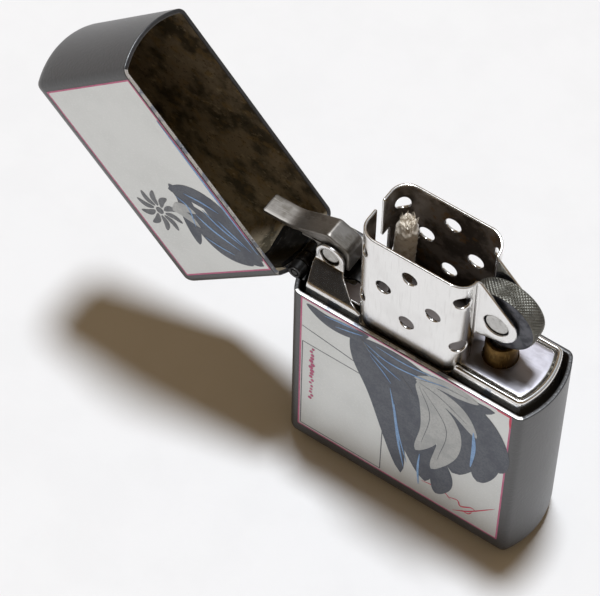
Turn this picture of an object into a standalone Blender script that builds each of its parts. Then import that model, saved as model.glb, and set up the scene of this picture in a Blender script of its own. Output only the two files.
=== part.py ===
"""Flip-top windproof petrol lighter, standing on its base with the lid thrown open.

The origin is the centre of the case's base. +X points from the hinge to the striker wheel, -Y is the front
panel and +Z is up. Sizes below are in millimetres and are turned to metres when a mesh is made.
"""

import math

import bmesh
import bpy

MM = 0.001

# Case and lid: drawn shells with flat sides, bowed end walls and rounded base and crown edges.
WIDTH = 38.1
DEPTH = 12.7
BODY_HEIGHT = 35.1
LID_HEIGHT = 21.6
WALL = 0.6
END_RADIUS = 12.05
CORNER_RADIUS = 1.3
EDGE_ROUND = 2.9
LID_GAP = 0.3
OPEN_ANGLE = 133.0

# Hinge on the -X end wall: one barrel of five knuckles on a pin.
BARREL_RADIUS = 1.15
BARREL_HALF_LENGTH = 4.0
HINGE_OUTSET = 0.3
PIN_RADIUS = 0.45
PIN_CLEARANCE = 0.09
KNUCKLE_COUNT = 5
KNUCKLE_GAP = 0.12
LEAF_THICKNESS = 0.4
LEAF_GAP = 0.1
LEAF_HEIGHT = 7.0
NOTCH_CLEARANCE = 0.25
TAB_SINK = 0.4
TAB_INSET = 0.02
TAB_INTO_KNUCKLE = 0.05

# Insert: a tank sleeve with a rolled rim, which slides into the case.
SLEEVE_SIDE_GAP = 0.55
SLEEVE_END_GAP = 0.75
SLEEVE_HINGE_GAP = 1.15
SLEEVE_WALL = 0.4
SLEEVE_STAND = 1.7
SLEEVE_FLOOR_GAP = 0.4
ROLL_RADIUS = 1.0
WINDOW_GAP = 0.3
DECK_THICKNESS = 0.4
DECK_DROP = 0.2
FIT_GAP = 0.1

# Chimney and its ears, stamped from one sheet with the deck.
SHEET = 0.4
CHIMNEY_TOP_GAP = 2.7
CHIMNEY_CORNER = 2.6
CHIMNEY_SEAM_DROP = 0.5
EAR_BEND = 0.3
HOLE_RADIUS = 1.12
HOLE_TOP_MARGIN = 3.7
HOLE_ROW_PITCH = 4.85
SLOT_WIDTH = 1.6
SLOT_EYE_WIDTH = 5.0
SLOT_EYE_TOP = 7.5
SLOT_EYE_BOTTOM = 13.5

# Striker wheel, carried between two ears at the +X end.
WHEEL_RADIUS = 5.1
WHEEL_HALF_WIDTH = 1.6
WHEEL_CHAMFER = 0.3
WHEEL_TEETH = 44
TOOTH_DEPTH = 0.22
WHEEL_SIDE_GAP = 0.3
WHEEL_END_INSET = 7.5
WHEEL_DECK_GAP = 4.0
WHEEL_EAR_RADIUS = 3.0
WHEEL_EAR_RISE = 7.2
WHEEL_EAR_FALL = 4.0
WHEEL_AXLE_RADIUS = 0.8
WHEEL_RIVET_RADIUS = 1.55
RIVET_RECESS = 0.22
RIVET_CLEARANCE = 0.08
EAR_HOLE_MARGIN = 0.25

# Cam lever, carried between two ears at the hinge end.
CAM_FROM_HINGE = 4.1
CAM_RISE = 3.5
CAM_LOBE = 3.5
CAM_ARM = 10.9
CAM_ARM_RISE = 0.95
CAM_ARM_BENDS = ((-6.3, 1.05), (-3.6, 2.35))
CAM_CHEEK = ((0.9, -2.6), (-1.6, -2.2), (-2.3, -0.2), (-2.9, 1.2))
CAM_FOLD_SETBACK = 0.65
CAM_FACE = 2.65
CAM_BROW_DROP = 0.3
CAM_PLATE = 0.6
CAM_HALF_WIDTH = 1.6
CAM_SIDE_GAP = 0.2
CAM_TO_CHIMNEY = 2.05
CAM_EAR_RADIUS = 2.15
EAR_FOOT_INSET = 0.3
EAR_FOOT_WIDTH = 0.5
EAR_CREASE_RISE = 1.7
EAR_SINK = 0.25
CAM_RIVET_RADIUS = 1.2
CAM_AXLE_RADIUS = 0.7
CAM_WELL_GAP = 0.35
DECK_END_STRIP = 0.6
SPRING_THICKNESS = 0.25
SPRING_HALF_WIDTH = 1.3
SPRING_SLOPE = 0.8
SPRING_RIVET_RADIUS = 0.55
SPRING_RIVET_FLANGE = 0.3
SPRING_RIVET_HEAD = 0.3

# Flint, its tube, spring and screw under the wheel.
TUBE_RADIUS = 2.2
TUBE_BORE = 1.6
TUBE_TOP_GAP = 0.4
FLINT_RADIUS = 1.3
FLINT_LENGTH = 4.6
FLINT_GAP = 0.15
PLUNGER_RADIUS = 1.3
PLUNGER_LENGTH = 2.0
PLUNGER_STEM = 0.6
SPRING_WIRE = 0.2
SPRING_COIL_RADIUS = 1.05
SPRING_TURNS = 16
SCREW_HEAD_RADIUS = 2.7
SCREW_HEAD_HEIGHT = 1.2
SCREW_SHANK_LENGTH = 5.0
SCREW_SLOT_WIDTH = 0.8
SCREW_SLOT_DEPTH = 0.6

# Fuel packing and wick.
FELT_THICKNESS = 2.6
PACKING_GAP = 0.3
PACKING_END_GAP = 1.6
WICK_RADIUS = 1.5
WICK_LEAN = 0.9
WICK_SIDES = 16
WICK_BELOW_TOP = 1.0
WICK_FROM_CHIMNEY = 3.9

# How far a cutter runs past what it cuts.
CUT_OVERRUN = 1.0
# A step that keeps two joined faces out of one plane.
JOIN_STEP = 0.02

ARC_STEPS = 5
ROUND_STEPS = 4
SMALL_ROUND = 24
TINY_ROUND = 12
COIL_STEPS = 10

# Places that follow from the sizes above.
HEIGHT = BODY_HEIGHT + LID_GAP + LID_HEIGHT
HALF_WIDTH = WIDTH / 2
HALF_DEPTH = DEPTH / 2
HINGE_X = -HALF_WIDTH + HINGE_OUTSET
HINGE_Z = BODY_HEIGHT + LID_GAP / 2

SLEEVE_RIGHT = HALF_WIDTH - WALL - SLEEVE_END_GAP
SLEEVE_LEFT = -HALF_WIDTH + WALL + SLEEVE_HINGE_GAP
SLEEVE_X = (SLEEVE_RIGHT + SLEEVE_LEFT) / 2
SLEEVE_HALF_WIDTH = (SLEEVE_RIGHT - SLEEVE_LEFT) / 2
SLEEVE_HALF_DEPTH = HALF_DEPTH - WALL - SLEEVE_SIDE_GAP
SLEEVE_END_RADIUS = END_RADIUS - WALL - SLEEVE_SIDE_GAP
FLOOR_ROUND = EDGE_ROUND - WALL
ROUND_AT_SLEEVE = EDGE_ROUND - math.sqrt(FLOOR_ROUND**2 - (FLOOR_ROUND - SLEEVE_SIDE_GAP) ** 2)
SLEEVE_BOTTOM = ROUND_AT_SLEEVE + SLEEVE_FLOOR_GAP
SLEEVE_TOP = BODY_HEIGHT + SLEEVE_STAND
DECK_TOP = SLEEVE_TOP - DECK_DROP
DECK_BOTTOM = DECK_TOP - DECK_THICKNESS

CAM_X = HINGE_X + CAM_FROM_HINGE
CAM_Z = DECK_TOP + CAM_RISE
CHIMNEY_LEFT = CAM_X + CAM_LOBE + CAM_TO_CHIMNEY
WHEEL_X = SLEEVE_RIGHT - WHEEL_END_INSET
WHEEL_Z = DECK_TOP + WHEEL_DECK_GAP + WHEEL_RADIUS
CHIMNEY_RIGHT = WHEEL_X - WHEEL_EAR_RADIUS
CHIMNEY_TOP = HEIGHT - WALL - CHIMNEY_TOP_GAP
CHIMNEY_FLAT_LEFT = CHIMNEY_LEFT + CHIMNEY_CORNER
CHIMNEY_FLAT_RIGHT = CHIMNEY_RIGHT - CHIMNEY_CORNER
HOLE_PITCH = (CHIMNEY_FLAT_RIGHT - CHIMNEY_FLAT_LEFT) / 3
HOLE_X = (CHIMNEY_FLAT_RIGHT + CHIMNEY_FLAT_LEFT) / 2
SEAM_Z = BODY_HEIGHT - CHIMNEY_SEAM_DROP
WHEEL_EAR_INNER = WHEEL_HALF_WIDTH + WHEEL_SIDE_GAP
CAM_EAR_INNER = CAM_HALF_WIDTH + CAM_SIDE_GAP
WELL_LEFT = SLEEVE_LEFT + ROLL_RADIUS + FIT_GAP + DECK_END_STRIP
WELL_RIGHT = CAM_X + CAM_LOBE + CAM_WELL_GAP
WICK_X = CHIMNEY_LEFT + WICK_FROM_CHIMNEY
TUBE_TOP = WHEEL_Z - WHEEL_RADIUS - TUBE_TOP_GAP
FELT_TOP = SLEEVE_BOTTOM + FELT_THICKNESS


# ---------------------------------------------------------------- outlines

def arc(centre_x, centre_y, radius, start, end, steps):
    """Points on a circular arc, angles in degrees, both ends included."""
    points = []
    for i in range(steps + 1):
        angle = math.radians(start + (end - start) * i / steps)
        points.append((centre_x + radius * math.cos(angle), centre_y + radius * math.sin(angle)))
    return points


def bowed_outline(half_width, half_depth, end_radius, corner_radius):
    """Outline with flat long sides and end walls bowed to end_radius, joined by corner fillets."""
    centre_x = half_width - end_radius
    fillet_y = half_depth - corner_radius
    fillet_x = centre_x + math.sqrt((end_radius - corner_radius) ** 2 - fillet_y**2)
    turn = math.degrees(math.atan2(fillet_y, fillet_x - centre_x))
    quarter = arc(centre_x, 0, end_radius, 0, turn, ARC_STEPS)
    quarter += arc(fillet_x, fillet_y, corner_radius, turn, 90, ROUND_STEPS)[1:]
    left = [(-x, y) for x, y in reversed(quarter)]
    top = quarter + left
    return top + [(x, -y) for x, y in reversed(top[1:-1])]


def case_outline(inset):
    """Outline of the case and lid, brought in by inset."""
    corner = max(CORNER_RADIUS - inset, 0.2)
    return bowed_outline(HALF_WIDTH - inset, HALF_DEPTH - inset, END_RADIUS - inset, corner)


def sleeve_outline(inset):
    """Outline of the insert's sleeve, brought in by inset."""
    corner = max(CORNER_RADIUS - inset, 0.2)
    outline = bowed_outline(
        SLEEVE_HALF_WIDTH - inset, SLEEVE_HALF_DEPTH - inset, SLEEVE_END_RADIUS - inset, corner
    )
    return [(x + SLEEVE_X, y) for x, y in outline]


def end_band(inset, thickness, low_y, high_y, steps=6):
    """Plan of a curved strip that lies along the -X end wall, inset from its outer face."""
    centre_x = -HALF_WIDTH + END_RADIUS
    spread = [low_y + (high_y - low_y) * i / steps for i in range(steps + 1)]
    outer, inner = END_RADIUS - inset, END_RADIUS - inset - thickness
    band = [(centre_x - math.sqrt(outer**2 - y**2), y) for y in reversed(spread)]
    return band + [(centre_x - math.sqrt(inner**2 - y**2), y) for y in spread]


# ---------------------------------------------------------------- meshes

def make_object(name, points, faces, parent=None, origin=(0, 0, 0)):
    """An object from points in millimetres. Its origin goes to origin, which the points are measured from."""
    mesh = bpy.data.meshes.new(name)
    mesh.from_pydata([[c * MM for c in p] for p in points], [], faces)
    tidy = bmesh.new()
    tidy.from_mesh(mesh)
    bmesh.ops.recalc_face_normals(tidy, faces=tidy.faces)
    tidy.to_mesh(mesh)
    tidy.free()
    obj = bpy.data.objects.new(name, mesh)
    obj.location = [c * MM for c in origin]
    obj.parent = parent
    bpy.context.scene.collection.objects.link(obj)
    return obj


def rings_solid(name, rings, closed_loop=False, **place):
    """A solid skinned over rings of equally many points. The end rings are capped, or joined to each other."""
    count = len(rings[0])
    faces = []
    for i in range(len(rings) if closed_loop else len(rings) - 1):
        a, b = i * count, (i + 1) % len(rings) * count
        for j in range(count):
            k = (j + 1) % count
            faces.append((a + j, a + k, b + k, b + j))
    if not closed_loop:
        faces += [tuple(range(count)), tuple(range((len(rings) - 1) * count, len(rings) * count))]
    return make_object(name, [p for ring in rings for p in ring], faces, **place)


def prism(name, outline, low, high, axis="Z", **place):
    """A solid made by pushing a flat outline along an axis. For axis Y the outline is in X and Z."""
    if axis == "Z":
        rings = [[(u, v, w) for u, v in outline] for w in (low, high)]
    elif axis == "Y":
        rings = [[(u, w, v) for u, v in outline] for w in (low, high)]
    else:
        rings = [[(w, u, v) for u, v in outline] for w in (low, high)]
    return rings_solid(name, rings, **place)


def box(name, low, high, **place):
    """A box between two corners."""
    outline = [(low[0], low[1]), (high[0], low[1]), (high[0], high[1]), (low[0], high[1])]
    return prism(name, outline, low[2], high[2], **place)


def turned(name, profile, steps, axis="Z", closed_profile=False, **place):
    """A solid of revolution. profile is (radius, distance along the axis); a zero radius is a point."""
    rings = []
    for radius, along in profile:
        ring = []
        for x, y in arc(0, 0, max(radius, 0.001), 0, 360 * (1 - 1 / steps), steps - 1):
            ring.append((x, y, along) if axis == "Z" else (x, along, y))
        rings.append(ring)
    return rings_solid(name, rings, closed_loop=closed_profile, **place)


def combine(obj, other, operation):
    """Adds or subtracts a helper object, which is hidden from the render."""
    other.hide_render = True
    other.display_type = "WIRE"
    modifier = obj.modifiers.new(other.name, "BOOLEAN")
    modifier.operation = operation
    modifier.object = other
    modifier.solver = "EXACT"


def smooth(obj, angle=35):
    """Round pieces are shaded smooth, with their sharp edges kept."""
    obj.data.shade_smooth()
    obj.data.set_sharp_from_angle(angle=math.radians(angle))


def finish(obj, name, colour, roughness, metallic):
    """Gives an object a plain material."""
    material = bpy.data.materials.get(name) or bpy.data.materials.new(name)
    material.use_nodes = True
    shader = material.node_tree.nodes["Principled BSDF"]
    shader.inputs["Base Color"].default_value = (*colour, 1)
    shader.inputs["Roughness"].default_value = roughness
    shader.inputs["Metallic"].default_value = metallic
    obj.data.materials.append(material)


FINISHES = {
    "black_coat": ((0.02, 0.02, 0.022), 0.45, 0.0),
    "polished_steel": ((0.78, 0.78, 0.76), 0.15, 1.0),
    "dark_steel": ((0.16, 0.15, 0.15), 0.4, 1.0),
    "brass": ((0.6, 0.45, 0.22), 0.3, 1.0),
    "cotton": ((0.85, 0.82, 0.75), 0.95, 0.0),
    "felt": ((0.75, 0.72, 0.66), 0.95, 0.0),
    "flint": ((0.2, 0.2, 0.21), 0.6, 0.8),
}


def dress(obj, name):
    """Gives an object one of the named finishes."""
    finish(obj, name, *FINISHES[name])


def empty(name, x, z, turn=0.0):
    """A joint axis along Y at (x, z), turned anticlockwise as seen from the front."""
    obj = bpy.data.objects.new(name, None)
    obj.location = (x * MM, 0, z * MM)
    obj.rotation_euler = (0, -math.radians(turn), 0)
    bpy.context.scene.collection.objects.link(obj)
    return obj


# ---------------------------------------------------------------- case, lid and hinge

def drawn_shell(name, rim, bottom, **place):
    """A shell with its closed end at bottom and its mouth at rim. It may open up (case) or down (lid)."""
    side = 1 if rim > bottom else -1
    rings = []
    for x, y in arc(EDGE_ROUND, EDGE_ROUND, EDGE_ROUND, 270, 180, ROUND_STEPS):
        rings.append([(u, v, bottom + side * y) for u, v in case_outline(x)])
    rings.append([(u, v, rim) for u, v in case_outline(0)])
    rings.append([(u, v, rim) for u, v in case_outline(WALL)])
    for x, y in arc(EDGE_ROUND, EDGE_ROUND, FLOOR_ROUND, 180, 270, ROUND_STEPS):
        rings.append([(u, v, bottom + side * y) for u, v in case_outline(x)])
    return rings_solid(name, rings, **place)


def notch(name, low, high, **place):
    """The cut in an end wall that clears the hinge's barrel. It goes right through the bowed wall."""
    reach = BARREL_HALF_LENGTH + NOTCH_CLEARANCE
    left = HINGE_X - BARREL_RADIUS - CUT_OVERRUN
    inner_face = -HALF_WIDTH + END_RADIUS - math.sqrt((END_RADIUS - WALL) ** 2 - reach**2)
    return box(name, (left, -reach, low), (inner_face + NOTCH_CLEARANCE, reach, high), **place)


def hinge_leaf(name, side, first_knuckle, inset, **place):
    """A curved leaf against the end wall with every second knuckle. side is -1 in the case and 1 in the lid."""
    clear = BARREL_RADIUS + NOTCH_CLEARANCE
    near, far = HINGE_Z + side * clear, HINGE_Z + side * (clear + LEAF_HEIGHT)
    length = (2 * BARREL_HALF_LENGTH - KNUCKLE_GAP * (KNUCKLE_COUNT - 1)) / KNUCKLE_COUNT
    band = end_band(inset, LEAF_THICKNESS, -BARREL_HALF_LENGTH, BARREL_HALF_LENGTH)
    leaf = prism(name, band, min(near, far), max(near, far), **place)
    bore = PIN_RADIUS + PIN_CLEARANCE
    tab_start, tab_end = near + side * TAB_SINK, HINGE_Z + side * (bore - TAB_INTO_KNUCKLE)
    for index in range(first_knuckle, KNUCKLE_COUNT, 2):
        start = -BARREL_HALF_LENGTH + index * (length + KNUCKLE_GAP)
        middle, half = start + length / 2, length / 2
        profile = [(bore, -half), (BARREL_RADIUS, -half), (BARREL_RADIUS, half), (bore, half)]
        at = {"origin": (HINGE_X, middle, HINGE_Z), "parent": leaf}
        ring = turned(f"{name}_ring_{index}", profile, SMALL_ROUND, "Y", True, **at)
        thickness = LEAF_THICKNESS - 2 * TAB_INSET
        tab_plan = end_band(inset + TAB_INSET, thickness, start + TAB_INSET, start + length - TAB_INSET, 2)
        tab_ends = sorted((tab_start, tab_end))
        tab = prism(f"{name}_tab_{index}", tab_plan, *tab_ends, parent=leaf)
        combine(leaf, tab, "UNION")
        combine(leaf, ring, "UNION")
    return leaf


def build_case():
    shell = drawn_shell("case_shell", BODY_HEIGHT, 0)
    clear = BARREL_RADIUS + NOTCH_CLEARANCE
    combine(shell, notch("case_notch", HINGE_Z - clear, BODY_HEIGHT + CUT_OVERRUN), "DIFFERENCE")
    smooth(shell)
    dress(shell, "black_coat")
    leaf = hinge_leaf("case_hinge_leaf", -1, 0, WALL + LEAF_GAP)
    smooth(leaf)
    dress(leaf, "polished_steel")
    half = BARREL_HALF_LENGTH
    profile = [(0, -half), (PIN_RADIUS, -half), (PIN_RADIUS, half), (0, half)]
    pin = turned("hinge_pin", profile, SMALL_ROUND, "Y", origin=(HINGE_X, 0, HINGE_Z))
    smooth(pin)
    dress(pin, "dark_steel")


def build_lid():
    """The lid is drawn shut, about its hinge, and the empty that carries it turns it open."""
    axis = empty("lid_axis", HINGE_X, HINGE_Z, OPEN_ANGLE)
    shut = {"parent": axis, "origin": (-HINGE_X, 0, -HINGE_Z)}
    shell = drawn_shell("lid_shell", BODY_HEIGHT + LID_GAP, HEIGHT, **shut)
    clear = BARREL_RADIUS + NOTCH_CLEARANCE
    combine(shell, notch("lid_notch", BODY_HEIGHT - CUT_OVERRUN, HINGE_Z + clear, **shut), "DIFFERENCE")
    smooth(shell)
    dress(shell, "black_coat")
    leaf = hinge_leaf("lid_hinge_leaf", 1, 1, WALL + LEAF_GAP, **shut)
    smooth(leaf)
    dress(leaf, "polished_steel")


# ---------------------------------------------------------------- insert

def build_sleeve():
    """The tank wall: a tube whose top rim is rolled inwards, cut down where the chimney's walls pass."""
    inner = ROLL_RADIUS - SLEEVE_WALL
    rings = [[(u, v, SLEEVE_BOTTOM) for u, v in sleeve_outline(0)]]
    for x, y in arc(ROLL_RADIUS, SLEEVE_TOP - ROLL_RADIUS, ROLL_RADIUS, 180, 90, ROUND_STEPS):
        rings.append([(u, v, y) for u, v in sleeve_outline(x)])
    for x, y in arc(ROLL_RADIUS, SLEEVE_TOP - ROLL_RADIUS, inner, 90, 180, ROUND_STEPS):
        rings.append([(u, v, y) for u, v in sleeve_outline(x)])
    rings.append([(u, v, SLEEVE_BOTTOM) for u, v in sleeve_outline(SLEEVE_WALL)])
    sleeve = rings_solid("tank_sleeve", rings, closed_loop=True)
    for side in (-1, 1):
        ends = (SLEEVE_HALF_DEPTH - 2 * ROLL_RADIUS, SLEEVE_HALF_DEPTH + CUT_OVERRUN)
        near, far = sorted(side * y for y in ends)
        window = box(
            f"sleeve_window_{side + 1}",
            (CHIMNEY_LEFT - WINDOW_GAP, near, SEAM_Z - WINDOW_GAP),
            (CHIMNEY_RIGHT + WINDOW_GAP, far, SLEEVE_TOP + CUT_OVERRUN),
        )
        combine(sleeve, window, "DIFFERENCE")
    smooth(sleeve)
    dress(sleeve, "polished_steel")


def chimney_strip():
    """Plan of the chimney's sheet, from the front wheel ear round the cam end to the back wheel ear."""
    ear_y = WHEEL_EAR_INNER + SHEET / 2
    bend = SHEET / 2 + EAR_BEND
    wall_y = SLEEVE_HALF_DEPTH - SHEET / 2
    left, right = CHIMNEY_LEFT + SHEET / 2, CHIMNEY_RIGHT - SHEET / 2
    corner = CHIMNEY_CORNER - SHEET / 2
    right_corner = wall_y - ear_y - bend
    front = [(WHEEL_X + WHEEL_EAR_RADIUS + CUT_OVERRUN, -ear_y)]
    front += [(x, -y) for x, y in arc(right + bend, ear_y + bend, bend, 270, 180, ROUND_STEPS)]
    front += [(x, -y) for x, y in arc(right - right_corner, wall_y - right_corner, right_corner, 0, 90, 6)[1:]]
    front += [(x, -y) for x, y in arc(left + corner, wall_y - corner, corner, 90, 180, 6)]
    middle = front + [(x, -y) for x, y in reversed(front)]
    return thicken(middle, SHEET)


def thicken(path, thickness):
    """Closed outline of a strip of even thickness along an open path, mitred at each point."""
    sides = ([], [])
    for i, (x, y) in enumerate(path):
        before, after = path[max(i - 1, 0)], path[min(i + 1, len(path) - 1)]
        first = unit(x - before[0], y - before[1]) if i else unit(after[0] - x, after[1] - y)
        second = unit(after[0] - x, after[1] - y) if i < len(path) - 1 else first
        normal = unit(-(first[1] + second[1]), first[0] + second[0])
        reach = thickness / 2 / (normal[0] * -first[1] + normal[1] * first[0])
        for points, sign in zip(sides, (1, -1)):
            points.append((x + sign * reach * normal[0], y + sign * reach * normal[1]))
    return sides[0] + sides[1][::-1]


def unit(x, y):
    length = math.hypot(x, y)
    return x / length, y / length


def chimney_holes():
    """Round holes in rows of three, two and three. The outer holes of the long rows sit on the corner bends."""
    rows = [CHIMNEY_TOP - HOLE_TOP_MARGIN - i * HOLE_ROW_PITCH for i in range(3)]
    reach = SLEEVE_HALF_DEPTH + CUT_OVERRUN
    drills = []

    def drill(x, y, z, turn, length):
        """A drill whose axis starts at (x, y) and runs level, turned from +Y."""
        profile = [(0, 0), (HOLE_RADIUS, 0), (HOLE_RADIUS, length), (0, length)]
        obj = turned(f"hole_drill_{len(drills)}", profile, 18, "Y", origin=(x, y, z))
        obj.rotation_euler = (0, 0, math.radians(turn))
        drills.append(obj)

    for z in (rows[0], rows[2]):
        drill(HOLE_X, -reach, z, 0, 2 * reach)
        for x, turn in ((CHIMNEY_FLAT_LEFT, 45), (CHIMNEY_FLAT_RIGHT, -45)):
            corner_y = SLEEVE_HALF_DEPTH - CHIMNEY_CORNER
            drill(x, corner_y, z, turn, CHIMNEY_CORNER + CUT_OVERRUN)
            drill(x, -corner_y, z, 180 - turn, CHIMNEY_CORNER + CUT_OVERRUN)
    for x in (HOLE_X - HOLE_PITCH, HOLE_X + HOLE_PITCH):
        drill(x, -reach, rows[1], 0, 2 * reach)
    return drills


def tangent_ear(apex_x, apex_z, foot_z, centre_x, centre_z, radius):
    """Side view of an ear: straight edges from two points on its root line, tangent to a round end."""
    points = [(apex_x, apex_z)]
    start = tangent_angle(apex_x - centre_x, apex_z - centre_z, radius, 1)
    end = tangent_angle(apex_x - centre_x, foot_z - centre_z, radius, -1)
    points += arc(centre_x, centre_z, radius, start, end, 12)
    return points + [(apex_x, foot_z)]


def tangent_angle(x, z, radius, side):
    """Angle at which a line from (x, z) touches a circle about the origin, on the given side."""
    distance = math.hypot(x, z)
    toward = math.degrees(math.atan2(z, x))
    spread = math.degrees(math.acos(radius / distance))
    angle = toward - side * spread
    return angle - 360 if angle > 180 else angle


def wheel_ear_trim():
    """Takes away the sheet round the wheel ears, which are a bay in this cutter's outline."""
    root = CHIMNEY_RIGHT + FIT_GAP
    apex_z, foot_z = WHEEL_Z + WHEEL_EAR_RISE, WHEEL_Z - WHEEL_EAR_FALL
    ear = tangent_ear(root, apex_z, foot_z, WHEEL_X, WHEEL_Z, WHEEL_EAR_RADIUS)
    far = WHEEL_X + WHEEL_EAR_RADIUS + 2 * CUT_OVERRUN
    low, high = SEAM_Z - CUT_OVERRUN, CHIMNEY_TOP + CUT_OVERRUN
    outline = [(root, high), *ear, (root, low), (far, low), (far, high)]
    reach = WHEEL_EAR_INNER + SHEET + EAR_BEND / 2
    return prism("wheel_ear_trim", outline, -reach, reach, "Y")


def cam_ear(side):
    """A folded ear: it leans in from the rim of the deck, then stands upright beside the cam."""
    inner, outer = CAM_EAR_INNER, CAM_EAR_INNER + SHEET
    foot = SLEEVE_HALF_DEPTH - ROLL_RADIUS - EAR_FOOT_INSET
    crease = DECK_TOP + EAR_CREASE_RISE
    top = CAM_Z + CAM_EAR_RADIUS + CUT_OVERRUN
    sunk, foot_inner = DECK_TOP - EAR_SINK, foot - EAR_FOOT_WIDTH
    profile = [(foot_inner, sunk), (foot, sunk), (foot, DECK_TOP + FIT_GAP), (outer, crease)]
    profile += [(outer, top), (inner, top), (inner, crease - EAR_SINK), (foot_inner, DECK_TOP)]
    profile = [(side * y, z) for y, z in profile]
    ear = prism(f"cam_ear_{side + 1}", profile, CAM_X - CAM_EAR_RADIUS, CAM_X + CAM_EAR_RADIUS, "X")
    roll_edge = SLEEVE_END_RADIUS - ROLL_RADIUS - FIT_GAP
    foot_left = SLEEVE_LEFT + SLEEVE_END_RADIUS - math.sqrt(roll_edge**2 - foot**2)
    above_roll = SLEEVE_TOP + FIT_GAP
    left, right = CAM_X - CAM_EAR_RADIUS - CUT_OVERRUN, CAM_X + CAM_EAR_RADIUS + CUT_OVERRUN
    high = top + CUT_OVERRUN
    outline = [(left, high), (left, SEAM_Z), (foot_left, SEAM_Z), (foot_left, above_roll)]
    outline += [(CAM_X - CAM_EAR_RADIUS, above_roll), *arc(CAM_X, CAM_Z, CAM_EAR_RADIUS, 180, 0, 12)]
    outline += [(right, CAM_Z), (right, high)]
    ends = sorted((side * CAM_EAR_INNER / 2, side * (foot + CUT_OVERRUN)))
    trim = prism(f"cam_ear_trim_{side + 1}", outline, *ends, "Y")
    combine(ear, trim, "DIFFERENCE")
    ear.hide_render = True
    return ear


def build_chimney():
    """Deck, chimney walls and four ears in one sheet-metal piece."""
    frame = prism("chimney_frame", sleeve_outline(ROLL_RADIUS + FIT_GAP), DECK_BOTTOM, DECK_TOP)
    strip = prism("chimney_strip", chimney_strip(), SEAM_Z, CHIMNEY_TOP)
    floor_depth = SLEEVE_HALF_DEPTH - SHEET / 2
    floor = box(
        "chimney_floor",
        (CHIMNEY_FLAT_LEFT + SHEET / 2, -floor_depth, DECK_BOTTOM + JOIN_STEP),
        (CHIMNEY_FLAT_RIGHT - SHEET / 2, floor_depth, DECK_TOP - JOIN_STEP),
    )
    for other in (strip, floor, cam_ear(-1), cam_ear(1)):
        combine(frame, other, "UNION")
    combine(frame, wheel_ear_trim(), "DIFFERENCE")
    for drill in chimney_holes():
        combine(frame, drill, "DIFFERENCE")

    half = SLOT_WIDTH / 2
    left, right = CHIMNEY_LEFT - CUT_OVERRUN / 2, CHIMNEY_LEFT + SHEET + CUT_OVERRUN
    eye_low, eye_high = CHIMNEY_TOP - SLOT_EYE_BOTTOM, CHIMNEY_TOP - SLOT_EYE_TOP
    slot = box("chimney_slot", (left, -half, eye_high - CUT_OVERRUN), (right, half, CHIMNEY_TOP + CUT_OVERRUN))
    eye = box("chimney_slot_eye", (left, -half, eye_low), (right, SLOT_EYE_WIDTH / 2, eye_high))
    combine(frame, slot, "DIFFERENCE")
    combine(frame, eye, "DIFFERENCE")

    well_half = CAM_HALF_WIDTH + CAM_WELL_GAP
    well = box(
        "cam_well",
        (WELL_LEFT, -well_half, DECK_BOTTOM - CUT_OVERRUN),
        (WELL_RIGHT, well_half, DECK_TOP + JOIN_STEP),
    )
    combine(frame, well, "DIFFERENCE")
    cam_hole, wheel_hole = CAM_RIVET_RADIUS + EAR_HOLE_MARGIN, WHEEL_RIVET_RADIUS + EAR_HOLE_MARGIN
    bores = (
        ("cam_bore", cam_hole, (CAM_X, 0, CAM_Z), "Y", CAM_EAR_INNER + CUT_OVERRUN),
        ("wheel_bore", wheel_hole, (WHEEL_X, 0, WHEEL_Z), "Y", WHEEL_EAR_INNER + CUT_OVERRUN),
        ("tube_hole", TUBE_RADIUS + FIT_GAP, (WHEEL_X, 0, DECK_TOP), "Z", CUT_OVERRUN),
        ("wick_hole", WICK_RADIUS + FIT_GAP, (WICK_X, 0, DECK_TOP), "Z", CUT_OVERRUN),
    )
    for name, radius, origin, axis, half_length in bores:
        profile = [(0, -half_length), (radius, -half_length), (radius, half_length), (0, half_length)]
        combine(frame, turned(name, profile, SMALL_ROUND, axis, origin=origin), "DIFFERENCE")
    smooth(frame)
    dress(frame, "polished_steel")


def rivet(name, x, z, axle, head, inner_face):
    """A rivet along Y: an axle between the ears, with heads that sit in the ears' holes below their faces."""
    outer = inner_face + SHEET - RIVET_RECESS
    side = [(axle, -inner_face), (head, -inner_face), (head, -outer), (0, -outer)]
    profile = side[::-1] + [(r, -y) for r, y in side]
    obj = turned(name, profile, SMALL_ROUND, "Y", origin=(x, 0, z))
    smooth(obj)
    dress(obj, "polished_steel")


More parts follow.
